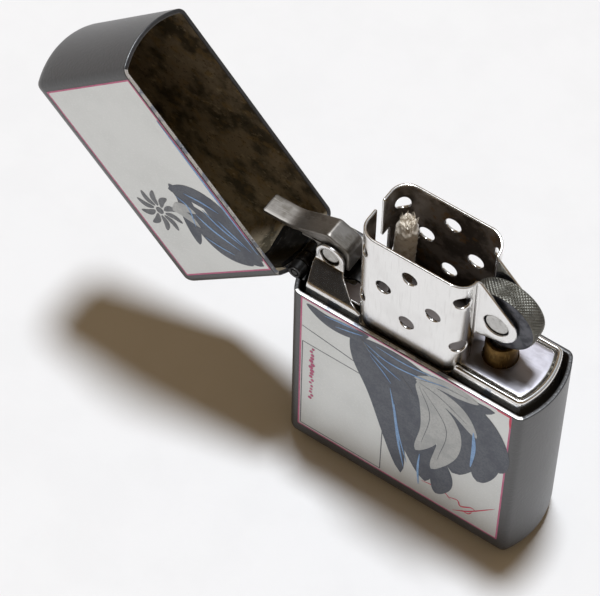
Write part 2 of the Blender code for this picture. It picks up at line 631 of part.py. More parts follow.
def build_cam():
    """A folded lever: a top plate with a long arm, two cheeks with the rivet's holes, and a flat right face."""
    under, brow = CAM_PLATE, math.sqrt(CAM_LOBE**2 - CAM_FACE**2) - CAM_BROW_DROP
    fold = (-CAM_FOLD_SETBACK, math.sqrt(CAM_LOBE**2 - CAM_FOLD_SETBACK**2))
    face = [(CAM_FACE, brow), (CAM_FACE, CAM_BROW_DROP - math.sqrt(CAM_LOBE**2 - CAM_FACE**2))]
    arm = [(-CAM_ARM, CAM_ARM_RISE), *CAM_ARM_BENDS]
    under_arm = [(x, z - under) for x, z in reversed(arm)]
    outline = [*arm, fold, *face, *CAM_CHEEK, *under_arm]
    cam = prism("cam", outline, -CAM_HALF_WIDTH, CAM_HALF_WIDTH, "Y", origin=(CAM_X, 0, CAM_Z))
    place = {"origin": (CAM_X, 0, CAM_Z)}
    half = CAM_HALF_WIDTH - CAM_PLATE
    bend_x, bend_z = CAM_ARM_BENDS[-1]
    inside = CAM_FACE - under
    hollow = [(bend_x, bend_z - 1.5 * under), (fold[0], fold[1] - 1.25 * under), (inside, brow - 0.75 * under)]
    hollow += [(inside, -CAM_LOBE), (bend_x, -CAM_LOBE)]
    combine(cam, prism("cam_hollow", hollow, -half, half, "Y", **place), "DIFFERENCE")
    radius = CAM_AXLE_RADIUS + RIVET_CLEARANCE
    reach = CAM_HALF_WIDTH + CUT_OVERRUN
    profile = [(0, -reach), (radius, -reach), (radius, reach), (0, reach)]
    combine(cam, turned("cam_axle_bore", profile, SMALL_ROUND, "Y", **place), "DIFFERENCE")
    dress(cam, "dark_steel")
    rivet("cam_rivet", CAM_X, CAM_Z, CAM_AXLE_RADIUS, CAM_RIVET_RADIUS, CAM_EAR_INNER)


def build_cam_spring():
    """A leaf under the cam, riveted to the deck beside the chimney and bent down into the cam's well."""
    root = CHIMNEY_LEFT - 2.5 * FIT_GAP
    low = CAM_Z - CAM_LOBE - FIT_GAP - 2 * SPRING_THICKNESS
    high = DECK_TOP + FIT_GAP + SPRING_THICKNESS / 2
    crest = WELL_RIGHT - 2 * SPRING_THICKNESS
    path = [(root, high), (crest, high), (crest - SPRING_SLOPE, low), (WELL_LEFT + FIT_GAP, low)]
    leaf = prism("cam_spring", thicken(path, SPRING_THICKNESS), -SPRING_HALF_WIDTH, SPRING_HALF_WIDTH, "Y")
    rivet_x = (root + WELL_RIGHT) / 2
    gap = SPRING_RIVET_RADIUS + RIVET_CLEARANCE
    low_end, high_end = DECK_BOTTOM - CUT_OVERRUN, high + CUT_OVERRUN
    bore = [(0, low_end), (gap, low_end), (gap, high_end), (0, high_end)]
    for name in ("cam_spring", "chimney_frame"):
        place = {"origin": (rivet_x, 0, 0)}
        combine(bpy.data.objects[name], turned(f"{name}_rivet_hole", bore, TINY_ROUND, **place), "DIFFERENCE")
    dress(leaf, "polished_steel")
    head = SPRING_RIVET_RADIUS + SPRING_RIVET_FLANGE
    top = high + SPRING_THICKNESS / 2 + FIT_GAP / 2
    bottom = DECK_BOTTOM - FIT_GAP / 2
    shank = [(0, bottom - SPRING_RIVET_HEAD), (head, bottom - SPRING_RIVET_HEAD), (head, bottom)]
    shank += [(SPRING_RIVET_RADIUS, bottom), (SPRING_RIVET_RADIUS, top), (head, top)]
    shank += [(SPRING_RIVET_RADIUS, top + SPRING_RIVET_HEAD), (0, top + SPRING_RIVET_HEAD)]
    rivet_body = turned("cam_spring_rivet", shank, TINY_ROUND, origin=(rivet_x, 0, 0))
    smooth(rivet_body)
    dress(rivet_body, "polished_steel")


def build_wheel():
    """The striker: a serrated rim between two chamfered sides, bored for its rivet."""
    bore = WHEEL_AXLE_RADIUS + RIVET_CLEARANCE
    hub = WHEEL_EAR_RADIUS
    rim = WHEEL_HALF_WIDTH - WHEEL_CHAMFER
    side = [(bore, WHEEL_HALF_WIDTH), (hub, WHEEL_HALF_WIDTH), (WHEEL_RADIUS, rim)]
    profile = [(r, -y) for r, y in side] + side[::-1]
    rings = []
    steps = 2 * WHEEL_TEETH
    for radius, y in profile:
        ring = []
        for i in range(steps):
            cut = TOOTH_DEPTH if i % 2 and radius > hub else 0
            angle = 2 * math.pi * i / steps
            ring.append(((radius - cut) * math.cos(angle), y, (radius - cut) * math.sin(angle)))
        rings.append(ring)
    wheel = rings_solid("striker_wheel", rings, closed_loop=True, origin=(WHEEL_X, 0, WHEEL_Z))
    dress(wheel, "dark_steel")
    rivet("wheel_rivet", WHEEL_X, WHEEL_Z, WHEEL_AXLE_RADIUS, WHEEL_RIVET_RADIUS, WHEEL_EAR_INNER)


# ---------------------------------------------------------------- flint and its spring

def build_flint_group():
    """Tube, flint, plunger, coil spring and screw, all on one upright axis under the wheel."""
    axis = {"origin": (WHEEL_X, 0, 0)}
    tube_bottom = SLEEVE_BOTTOM + SCREW_HEAD_HEIGHT + FIT_GAP
    tube_ends = (tube_bottom, TUBE_TOP)
    profile = [(TUBE_BORE, tube_bottom), *((TUBE_RADIUS, z) for z in tube_ends), (TUBE_BORE, TUBE_TOP)]
    tube = turned("flint_tube", profile, SMALL_ROUND, closed_profile=True, **axis)
    smooth(tube)
    dress(tube, "brass")

    flint_top = WHEEL_Z - WHEEL_RADIUS - FLINT_GAP
    flint_bottom = flint_top - FLINT_LENGTH
    profile = [(0, flint_bottom), (FLINT_RADIUS, flint_bottom), (FLINT_RADIUS, flint_top), (0, flint_top)]
    flint = turned("flint", profile, 16, **axis)
    smooth(flint)
    dress(flint, "flint")

    plunger_top = flint_bottom - FIT_GAP
    plunger_bottom = plunger_top - PLUNGER_LENGTH
    stem = plunger_bottom + PLUNGER_LENGTH / 2
    profile = [(0, plunger_bottom), (PLUNGER_STEM, plunger_bottom), (PLUNGER_STEM, stem), (PLUNGER_RADIUS, stem)]
    profile += [(PLUNGER_RADIUS, plunger_top), (0, plunger_top)]
    plunger = turned("flint_plunger", profile, 16, **axis)
    smooth(plunger)
    dress(plunger, "brass")

    shank_top = SLEEVE_BOTTOM + SCREW_HEAD_HEIGHT + SCREW_SHANK_LENGTH
    head_top = SLEEVE_BOTTOM + SCREW_HEAD_HEIGHT
    profile = [(0, SLEEVE_BOTTOM), (SCREW_HEAD_RADIUS, SLEEVE_BOTTOM), (SCREW_HEAD_RADIUS, head_top)]
    profile += [(TUBE_BORE - FIT_GAP, head_top), (TUBE_BORE - FIT_GAP, shank_top), (0, shank_top)]
    screw = turned("flint_screw", profile, SMALL_ROUND, **axis)
    half, reach = SCREW_SLOT_WIDTH / 2, SCREW_HEAD_RADIUS + CUT_OVERRUN
    slot = box(
        "screw_slot",
        (WHEEL_X - reach, -half, SLEEVE_BOTTOM - CUT_OVERRUN),
        (WHEEL_X + reach, half, SLEEVE_BOTTOM + SCREW_SLOT_DEPTH),
    )
    combine(screw, slot, "DIFFERENCE")
    smooth(screw)
    dress(screw, "brass")

    low = shank_top + SPRING_WIRE + FIT_GAP
    high = stem - SPRING_WIRE - FIT_GAP
    curve = bpy.data.curves.new("flint_spring", "CURVE")
    curve.dimensions = "3D"
    curve.bevel_depth = SPRING_WIRE * MM
    curve.bevel_resolution = 1
    curve.use_fill_caps = True
    count = SPRING_TURNS * COIL_STEPS
    spline = curve.splines.new("POLY")
    spline.points.add(count)
    for i, point in enumerate(spline.points):
        angle = 2 * math.pi * SPRING_TURNS * i / count
        x, y = SPRING_COIL_RADIUS * math.cos(angle), SPRING_COIL_RADIUS * math.sin(angle)
        point.co = (x * MM, y * MM, (low + (high - low) * i / count) * MM, 1)
    spring = bpy.data.objects.new("flint_spring", curve)
    spring.location = (WHEEL_X * MM, 0, 0)
    bpy.context.scene.collection.objects.link(spring)
    dress(spring, "polished_steel")


# ---------------------------------------------------------------- fuel packing and wick

def build_packing():
    """A felt pad below, five cotton balls above it and the wick between them."""
    wall = SLEEVE_WALL + FIT_GAP
    felt = prism("felt_pad", sleeve_outline(wall), SLEEVE_BOTTOM + 2 * FIT_GAP, FELT_TOP)
    gap = SCREW_HEAD_RADIUS + FIT_GAP
    cut_low, cut_high = SLEEVE_BOTTOM - CUT_OVERRUN, FELT_TOP + CUT_OVERRUN
    profile = [(0, cut_low), (gap, cut_low), (gap, cut_high), (0, cut_high)]
    combine(felt, turned("felt_hole", profile, SMALL_ROUND, origin=(WHEEL_X, 0, 0)), "DIFFERENCE")
    dress(felt, "felt")

    half_depth = SLEEVE_HALF_DEPTH - SLEEVE_WALL - PACKING_GAP
    low, high = FELT_TOP + PACKING_GAP, SEAM_Z - PACKING_GAP
    wick_left, wick_right = WICK_X - WICK_RADIUS - PACKING_GAP, WICK_X + WICK_RADIUS + PACKING_GAP
    spans = (
        (SLEEVE_LEFT + SLEEVE_WALL + PACKING_END_GAP, wick_left, 3),
        (wick_right, WHEEL_X - TUBE_RADIUS - PACKING_GAP, 2),
    )
    number = 0
    for left, right, count in spans:
        pitch = (high - low) / count
        for i in range(count):
            number += 1
            middle = ((left + right) / 2, 0, low + (i + 0.5) * pitch)
            half = ((right - left) / 2, half_depth, (pitch - PACKING_GAP) / 2)
            cotton_ball(f"cotton_ball_{number}", middle, half)

    floor_z = FELT_TOP + PACKING_GAP
    top_z = CHIMNEY_TOP - WICK_BELOW_TOP
    straight_z = DECK_TOP + WICK_RADIUS
    path = [(0, floor_z), (0, straight_z), (WICK_LEAN / 2, (straight_z + top_z) / 2), (WICK_LEAN, top_z)]
    rings = []
    for y, z in path:
        ring = arc(0, 0, WICK_RADIUS, 0, 360 * (1 - 1 / WICK_SIDES), WICK_SIDES - 1)
        rings.append([(x, y + v, z) for x, v in ring])
    wick = rings_solid("wick", rings, origin=(WICK_X, 0, 0))
    smooth(wick)
    dress(wick, "cotton")


def cotton_ball(name, middle, half):
    """A squashed ball of cotton, a block rounded off into a pillow. With power 1 it is a plain ball."""
    steps, power = 8, 0.55
    rings = []
    for i in range(1, steps):
        polar = math.pi * i / steps
        ring = []
        for j in range(2 * steps):
            turn = math.pi * j / steps
            x = math.copysign(abs(math.cos(turn)) ** power, math.cos(turn))
            y = math.copysign(abs(math.sin(turn)) ** power, math.sin(turn))
            out = math.sin(polar) ** power
            z = -math.copysign(abs(math.cos(polar)) ** power, math.cos(polar))
            ring.append((half[0] * x * out, half[1] * y * out, half[2] * z))
        rings.append(ring)
    ball = rings_solid(name, rings, origin=middle)
    smooth(ball, 80)
    dress(ball, "cotton")


def main():
    for obj in list(bpy.data.objects):
        bpy.data.objects.remove(obj)
    build_case()
    build_lid()
    build_sleeve()
    build_chimney()
    build_cam()
    build_cam_spring()
    build_wheel()
    build_flint_group()
    build_packing()


main()
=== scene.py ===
"""Looks of a pocket petrol lighter: a black powder-coated case with a printed front, its lid thrown open, a
polished insert with a perforated chimney, a cam lever, a knurled striker wheel and a charred wick.

Sizes are in millimetres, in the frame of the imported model: the origin is the centre of the case's base, +X runs
from the hinge to the wheel, -Y is the printed front and +Z is up.
"""

import logging
import math
from dataclasses import dataclass
from enum import Enum

import bmesh
import bpy
import numpy as np
from mathutils import Matrix, Vector
from mathutils.geometry import delaunay_2d_cdt


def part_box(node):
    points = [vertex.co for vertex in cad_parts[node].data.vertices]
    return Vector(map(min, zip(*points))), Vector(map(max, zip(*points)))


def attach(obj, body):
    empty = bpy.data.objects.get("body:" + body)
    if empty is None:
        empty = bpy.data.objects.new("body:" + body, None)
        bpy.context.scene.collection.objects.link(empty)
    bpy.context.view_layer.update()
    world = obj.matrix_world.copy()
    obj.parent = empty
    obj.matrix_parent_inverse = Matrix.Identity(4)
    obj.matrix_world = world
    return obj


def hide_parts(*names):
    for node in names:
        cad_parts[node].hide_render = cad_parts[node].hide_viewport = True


MM = 0.001
LOG = logging.getLogger("lighter")
CAM_AXIS = (-14.65, 40.1)  # x and z of the lever's rivet
WHEEL_AXIS = (10.2, 45.7)  # x and z of the wheel's rivet, over the flint tube
WICK_X = -5.2

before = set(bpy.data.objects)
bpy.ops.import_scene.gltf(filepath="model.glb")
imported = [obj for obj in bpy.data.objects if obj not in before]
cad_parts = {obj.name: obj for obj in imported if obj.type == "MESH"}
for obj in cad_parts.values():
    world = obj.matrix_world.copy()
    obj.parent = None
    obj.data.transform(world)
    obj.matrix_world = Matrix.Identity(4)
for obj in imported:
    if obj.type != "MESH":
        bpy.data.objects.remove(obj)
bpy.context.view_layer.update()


# ---------------------------------------------------------------- finishes


def tone(code: str) -> tuple[float, ...]:
    """Turns an sRGB hex colour to linear light.

    Args:
        code: The colour as #rrggbb.

    Returns:
        Linear red, green and blue, and an alpha of 1.
    """
    srgb = np.array([int(code[i : i + 2], 16) for i in (1, 3, 5)]) / 255
    linear = np.where(srgb <= 0.04045, srgb / 12.92, ((srgb + 0.055) / 1.055) ** 2.4)
    return (*linear.tolist(), 1.0)


def node(tree: bpy.types.NodeTree, kind: str, inputs: dict | None = None, **settings: object) -> bpy.types.Node:
    """Adds one shader node.

    Args:
        tree: The material's node tree.
        kind: The node's type without its "ShaderNode" prefix.
        inputs: What each input takes: a socket is linked to it, and anything else is its value.
        settings: The node's own properties.

    Returns:
        The new node.
    """
    made = tree.nodes.new("ShaderNode" + kind)
    for name, value in settings.items():
        setattr(made, name, value)
    for name, value in (inputs or {}).items():
        if isinstance(value, bpy.types.NodeSocket):
            tree.links.new(value, made.inputs[name])
        else:
            made.inputs[name].default_value = value
    return made


class Pattern(Enum):
    """How a layer of a finish varies over the surface."""

    CLOUD = "soft clouds"
    CELLS = "packed round cells"
    SLOPE = "a rise along a line"


@dataclass(frozen=True)
class Layer:
    """One scale of variation on a finish.

    size is the pattern's size in millimetres, and stretch makes it longer along x, y and z. For a slope, start is
    the point where it begins and stretch its direction. band gives the pattern values between which the tint comes
    in, share how much of it shows, rough what its peaks add to the roughness and depth their height.
    """

    size: float
    tint: str = "#000000"
    share: float = 0.0
    band: tuple[float, float] = (0.4, 0.65)
    rough: float = 0.0
    depth: float = 0.0
    stretch: tuple[float, float, float] = (1.0, 1.0, 1.0)
    start: tuple[float, float, float] = (0.0, 0.0, 0.0)
    pattern: Pattern = Pattern.CLOUD
    detail: float = 3.0


@dataclass(frozen=True)
class Finish:
    """A real material and how its surface was made: a base colour with layers of variation over it."""

    name: str
    base: str
    metallic: float
    roughness: float
    layers: tuple[Layer, ...]
    specular: float = 0.5
    sheen: float = 0.0

    def value(self, tree: bpy.types.NodeTree, place: bpy.types.NodeSocket, layer: Layer) -> bpy.types.NodeSocket:
        """Builds a layer's pattern.

        Args:
            tree: The material's node tree.
            place: The point on the object.
            layer: The layer to draw.

        Returns:
            The pattern's value, from 0 to 1.
        """
        if layer.pattern is Pattern.SLOPE:
            start = [-v * MM for v in layer.start]
            moved = node(tree, "VectorMath", {0: place, 1: start}, operation="ADD")
            along = node(tree, "VectorMath", {0: moved.outputs[0], 1: layer.stretch}, operation="DOT_PRODUCT")
            span = {"Value": along.outputs["Value"], "From Min": 0.0, "From Max": layer.size * MM}
            return node(tree, "MapRange", span).outputs["Result"]
        scale = [1 / (layer.size * MM * s) for s in layer.stretch]
        mapped = node(tree, "Mapping", {"Vector": place, "Scale": scale}).outputs["Vector"]
        if layer.pattern is Pattern.CELLS:
            return node(tree, "TexVoronoi", {"Vector": mapped, "Scale": 1.0}).outputs["Distance"]
        spots = {"Vector": mapped, "Scale": 1.0, "Detail": layer.detail, "Roughness": 0.6}
        return node(tree, "TexNoise", spots).outputs["Fac"]

    def material(self) -> bpy.types.Material:
        """Builds the material, once for each finish, and returns it."""
        found = bpy.data.materials.get(self.name)
        if found:
            return found
        made = bpy.data.materials.new(self.name)
        made.use_nodes = True
        tree = made.node_tree
        shader = tree.nodes["Principled BSDF"]
        place = node(tree, "TexCoord").outputs["Object"]
        colour, rough, normal = tone(self.base), self.roughness, None
        for layer in self.layers:
            value = self.value(tree, place, layer)
            if layer.share:
                low, high = layer.band
                span = {"Value": value, "From Min": low, "From Max": high, "To Max": layer.share}
                shown = node(tree, "MapRange", span, interpolation_type="SMOOTHSTEP").outputs["Result"]
                mixed = {"Fac": shown, "Color1": colour, "Color2": tone(layer.tint)}
                colour = node(tree, "MixRGB", mixed).outputs["Color"]
            if layer.rough:
                terms = {0: value, 1: layer.rough, 2: rough}
                rough = node(tree, "Math", terms, operation="MULTIPLY_ADD").outputs["Value"]
            if layer.depth:
                relief = {"Height": value, "Distance": layer.depth * MM, "Strength": 1.0}
                if normal:
                    relief["Normal"] = normal
                normal = node(tree, "Bump", relief).outputs["Normal"]
        for name, value in (("Base Color", colour), ("Roughness", rough), ("Normal", normal)):
            if isinstance(value, bpy.types.NodeSocket):
                tree.links.new(value, shader.inputs[name])
            elif value is not None:
                shader.inputs[name].default_value = value
        shader.inputs["Metallic"].default_value = self.metallic
        shader.inputs["Specular IOR Level"].default_value = self.specular
        shader.inputs["Sheen Weight"].default_value = self.sheen
        return made


# Polyester powder baked on steel: a matt black whose orange peel, cells 0.4 across, glows grey at a low angle.
POWDER_COAT = Finish(
    "black_powder_coat", "#161618", 0.0, 0.3,
    (
        Layer(7.0, "#1f1f22", 0.6, (0.35, 0.7), 0.05),
        Layer(0.4, "#303035", 0.5, (0.5, 0.75), 0.12, 0.045, detail=2.0),
    ),
    specular=1.0,
)
# The drawn edge where the coat has worn through: bare steel, bright, blue-grey in patches and pitted dark.
BARE_RIM = Finish(
    "worn_bare_rim", "#e9e7e3", 1.0, 0.3,
    (
        Layer(2.5, "#8f9bb0", 0.8, (0.5, 0.6), 0.1, 0.01, detail=4.0),
        Layer(0.7, "#4a4644", 0.7, (0.6, 0.68), 0.3),
    ),
)
# The uncoated inside of case and tank: plated steel stained brown by fuel, with streaks 0.5 wide down the wall.
DARK_INSIDE = Finish(
    "fuel_stained_inside", "#5b5147", 0.7, 0.42,
    (
        Layer(3.0, "#4a3c22", 0.7, (0.45, 0.7), 0.15, detail=5.0),
        Layer(0.5, "#6a5a3c", 0.45, (0.6, 0.75), 0.2, 0.01, (1.0, 1.0, 2.5), detail=4.0),
    ),
)
# The lid's inside, smoked by the flame: brown and olive stains over dull metal, with pale and black specks.
SMOKED_LID = Finish(
    "smoked_lid_inside", "#a39680", 0.3, 0.5,
    (
        Layer(6.0, "#3e3829", 0.9, (0.42, 0.6), 0.1, detail=5.0),
        Layer(2.0, "#a08a62", 0.7, (0.5, 0.66), 0.15, detail=5.0),
        Layer(0.35, "#d8ccb2", 0.5, (0.58, 0.72), -0.1, 0.006, (3.0, 1.0, 2.0), detail=4.0),
        Layer(0.5, "#1f1a12", 0.6, (0.55, 0.7), 0.1, 0.006, detail=5.0),
    ),
)
# Chrome-plated steel, buffed bright. Its hairline scratches, a few hundredths wide, are drawn 0.25 wide to show.
POLISHED = Finish(
    "buffed_chrome_plate", "#e9e8e6", 1.0, 0.11,
    (
        Layer(6.0, "#dad8d6", 0.5, (0.4, 0.7), 0.05),
        Layer(0.25, "#c9c7c4", 0.35, (0.55, 0.7), 0.06, 0.0004, (1.0, 1.0, 14.0), detail=2.0),
        Layer(0.4, "#8d857c", 0.3, (0.7, 0.78), 0.12, detail=4.0),
    ),
)
# The chimney's inside: the same plate under soot, brown where oil has baked on, and darker brown towards the bottom.
SOOTED = Finish(
    "sooted_chimney_inside", "#9a9086", 0.8, 0.3,
    (
        Layer(4.0, "#443a2f", 0.9, (0.4, 0.6), 0.2, detail=5.0),
        Layer(1.5, "#8f6a38", 0.7, (0.55, 0.68), 0.2, 0.01, detail=5.0),
        Layer(0.4, "#cfc6ba", 0.5, (0.6, 0.75), -0.1, 0.006, detail=3.0),
        Layer(14.0, "#3a3026", 0.7, (0.0, 1.0), 0.2, stretch=(0.0, 0.0, -1.0), start=(0.0, 0.0, 48.0),
              pattern=Pattern.SLOPE),
    ),
)
# The deck's plate: chrome hazed by heat, wiped lengthwise, brown-dark left of the chimney's right wall, darkest by
# the cam.
DECK_PLATE = Finish(
    "hazed_chrome_deck", "#b3b1b8", 1.0, 0.24,
    (
        Layer(2.6, "#97949a", 0.6, (0.45, 0.7), 0.06, detail=4.0),
        Layer(1.4, "#4b4238", 0.85, (0.0, 1.0), 0.3, stretch=(-1.0, 0.0, 0.0), start=(7.6, 0.0, 0.0),
              pattern=Pattern.SLOPE),
        Layer(0.25, "#8a7d6a", 0.4, (0.63, 0.74), 0.2, 0.002, (5.0, 1.0, 1.0), detail=3.0),
        Layer(9.0, "#2b1f16", 0.86, (0.0, 0.55), 0.15, stretch=(-1.0, 0.0, 0.0), start=(-7.0, 0.0, 0.0),
              pattern=Pattern.SLOPE),
    ),
)
# Black grime packed in the groove round the deck, with bright flecks where it has come away.
GROOVE_GRIME = Finish(
    "groove_grime", "#2a2520", 0.5, 0.6,
    (
        Layer(0.6, "#9b968c", 0.8, (0.56, 0.64), -0.2, 0.03, detail=4.0),
        Layer(0.25, "#4a4a30", 0.6, (0.5, 0.65), 0.1, 0.02, detail=3.0),
    ),
)
# Hardened lever steel, left dark, its brush lines along the arm drawn 0.14 wide to show.
LEVER_STEEL = Finish(
    "brushed_lever_steel", "#827e79", 1.0, 0.34,
    (
        Layer(2.2, "#565148", 0.6, (0.45, 0.65), 0.08, detail=3.0),
        Layer(0.14, "#96928d", 0.5, (0.5, 0.7), 0.12, 0.003, (16.0, 1.0, 3.0), detail=2.0),
    ),
)
# The striker's rim: file-hard steel, grey-green between worn bright points.
KNURL_STEEL = Finish(
    "knurled_striker_steel", "#77766f", 0.85, 0.42,
    (
        Layer(1.4, "#4b4a44", 0.6, (0.42, 0.66), 0.1, detail=4.0),
        Layer(0.3, "#a09f97", 0.5, (0.58, 0.72), -0.05, 0.01, detail=3.0),
    ),
)
# The striker's turned sides: blued by hardening and polished by the flint's dust.
BLUED_SIDE = Finish(
    "blued_striker_side", "#5c5d62", 0.9, 0.3,
    (
        Layer(1.2, "#22232a", 0.7, (0.42, 0.66), 0.1, detail=3.0),
        Layer(0.3, "#6c6c70", 0.4, (0.6, 0.74), 0.08, 0.004, detail=3.0),
    ),
)
# Upset steel rivets: bright, faintly dimpled by the punch.
RIVET_STEEL = Finish(
    "punched_rivet_steel", "#c8c7c4", 1.0, 0.28,
    (
        Layer(0.8, "#9a9894", 0.6, (0.45, 0.68), 0.12, 0.02, detail=3.0),
        Layer(0.25, "#5c5853", 0.4, (0.62, 0.74), 0.1, detail=2.0),
    ),
)
# Drawn brass tube, browned by handling and painted darker still as the wheel's shade on it.
SHADE_DARKENED_BRASS = Finish(
    "brass_tarnish_and_painted_shade", "#745a33", 1.0, 0.34,
    (
        Layer(2.0, "#40301a", 0.7, (0.42, 0.66), 0.15, detail=4.0),
        Layer(0.2, "#c6a869", 0.4, (0.58, 0.72), 0.05, 0.004, (1.0, 1.0, 9.0), detail=2.0),
    ),
)
# The hinge: pressed steel with the black coat rubbed thin on its barrel.
HINGE_STEEL = Finish(
    "rubbed_black_hinge", "#1d1c1b", 0.7, 0.34,
    (
        Layer(1.5, "#3b3835", 0.6, (0.46, 0.66), 0.1, detail=4.0),
        Layer(0.3, "#8e8b86", 0.5, (0.62, 0.72), -0.1, 0.004, (1.0, 3.0, 1.0), detail=3.0),
    ),
)
# Plaited cotton wick: off-white yarn mottled brown, and darker brown from just below its tip down towards its foot.
WICK_COTTON = Finish(
    "scorched_wick_cotton", "#e0d8ca", 0.0, 0.9,
    (
        Layer(1.2, "#8f7d63", 0.7, (0.42, 0.64), detail=5.0),
        Layer(0.16, "#efe9dd", 0.6, (0.5, 0.7), 0.0, 0.03, (1.0, 1.0, 3.0), detail=3.0),
        Layer(9.0, "#5a4028", 0.85, (0.1, 1.0), stretch=(0.0, 0.0, -1.0), start=(0.0, 0.0, 51.0),
              pattern=Pattern.SLOPE),
    ),
    sheen=0.3,
)
# Loose cotton wadding: white, hazy, with a fuel-yellow cast.
WADDING = Finish(
    "cotton_wadding", "#e6e0d2", 0.0, 0.95,
    (
        Layer(3.0, "#cdbf9f", 0.6, (0.42, 0.68), 0.0, 0.12, detail=6.0),
        Layer(0.35, "#fbf8f0", 0.6, (0.45, 0.7), 0.0, 0.08, detail=6.0),
    ),
    sheen=0.5,
)
# Pressed grey wool felt, fibres matted flat.
FELT = Finish(
    "pressed_wool_felt", "#8f8a80", 0.0, 0.95,
    (
        Layer(0.9, "#a9a498", 0.6, (0.4, 0.65), 0.0, 0.05, (2.0, 2.0, 1.0), detail=6.0),
        Layer(0.2, "#6f6a61", 0.6, (0.5, 0.7), 0.0, 0.05, detail=4.0),
    ),
    sheen=0.4,
)
# Ferrocerium: a sintered grey rod, dull and granular.
FERROCERIUM = Finish(
    "sintered_ferrocerium", "#5b5a5c", 0.8, 0.55,
    (
        Layer(0.25, "#8a888a", 0.6, (0.4, 0.65), 0.1, 0.02, pattern=Pattern.CELLS),
        Layer(0.8, "#3d3b3b", 0.5, (0.5, 0.7), 0.1, detail=4.0),
    ),
)
# Lacquer screen-printed on steel: a silver ground with fine metal flake.
SILVER_GROUND = Finish(
    "silver_lacquer_ground", "#d3d4d1", 0.8, 0.32,
    (
        Layer(9.0, "#c9cac7", 0.6, (0.35, 0.7), 0.05),
        Layer(0.3, "#dcdcda", 0.5, (0.5, 0.7), 0.06, 0.0006, detail=2.0),
    ),
)


def ink(name: str, base: str, shade: str, metallic: float = 0.35) -> Finish:
    """Screen ink: flat pigment with the mesh's cells, drawn 0.28 across, that lets some silver ground through.

    Args:
        name: The ink's name.
        base: Its colour.
        shade: The colour where it lies thicker.
        metallic: How much of the ground shows through.

    Returns:
        The finish.
    """
    layers = (
        Layer(2.4, shade, 0.7, (0.4, 0.68), 0.06),
        Layer(0.28, shade, 0.5, (0.52, 0.66), 0.05, 0.001, pattern=Pattern.CELLS),
    )
    return Finish(name, base, metallic, 0.4, layers)


SLATE_INK = ink("slate_ink", "#5f646d", "#4a4f5b")
PETAL_INK = ink("pale_petal_ink", "#b9bab8", "#a5a7a7", 0.6)
LINE_INK = ink("grey_line_ink", "#77797d", "#5f6267")
BLUE_INK = ink("light_blue_ink", "#8fb2da", "#6f93c4")
MAGENTA_INK = ink("magenta_border_ink", "#cf6f93", "#b9597f")
RED_INK = ink("red_ink", "#d8415c", "#c2324f")


# ---------------------------------------------------------------- meshes


def unit(vectors: np.ndarray) -> np.ndarray:
    """Each row divided by its length."""
    return vectors / np.maximum(np.linalg.norm(vectors, axis=-1, keepdims=True), 1e-12)


def smoothstep(low: float, high: float, value: np.ndarray) -> np.ndarray:
    """0 below low, 1 above high, and 3t^2 - 2t^3 between them."""
    t = np.clip((value - low) / (high - low), 0, 1)
    return t * t * (3 - 2 * t)


def lattice(rows: int, columns: int, wrap_rows: bool = False, wrap_columns: bool = True) -> np.ndarray:
    """Quads between the neighbours of a grid.

    Args:
        rows: The grid's rows.
        columns: The grid's columns.
        wrap_rows: Whether the last row joins the first.
        wrap_columns: Whether the last column joins the first.

    Returns:
        Four corner indices for each quad.
    """
    r = np.arange(rows if wrap_rows else rows - 1)[:, None]
    c = np.arange(columns if wrap_columns else columns - 1)[None, :]
    r2, c2 = (r + 1) % rows, (c + 1) % columns
    corners = (r * columns + c, r * columns + c2, r2 * columns + c2, r2 * columns + c)
    return np.stack(np.broadcast_arrays(*corners), -1).reshape(-1, 4)


def signed_volume(points: np.ndarray, faces: np.ndarray) -> float:
    """Six times the volume inside the faces, negative when they face inwards. A triangle's fourth corner is -1."""
    last = np.where(faces[:, 3] < 0, faces[:, 2], faces[:, 3])
    a, b, c, d = (points[i] for i in (faces[:, 0], faces[:, 1], faces[:, 2], last))
    return float(np.einsum("ij,ij->", a, np.cross(b, c)) + np.einsum("ij,ij->", a, np.cross(c, d)))


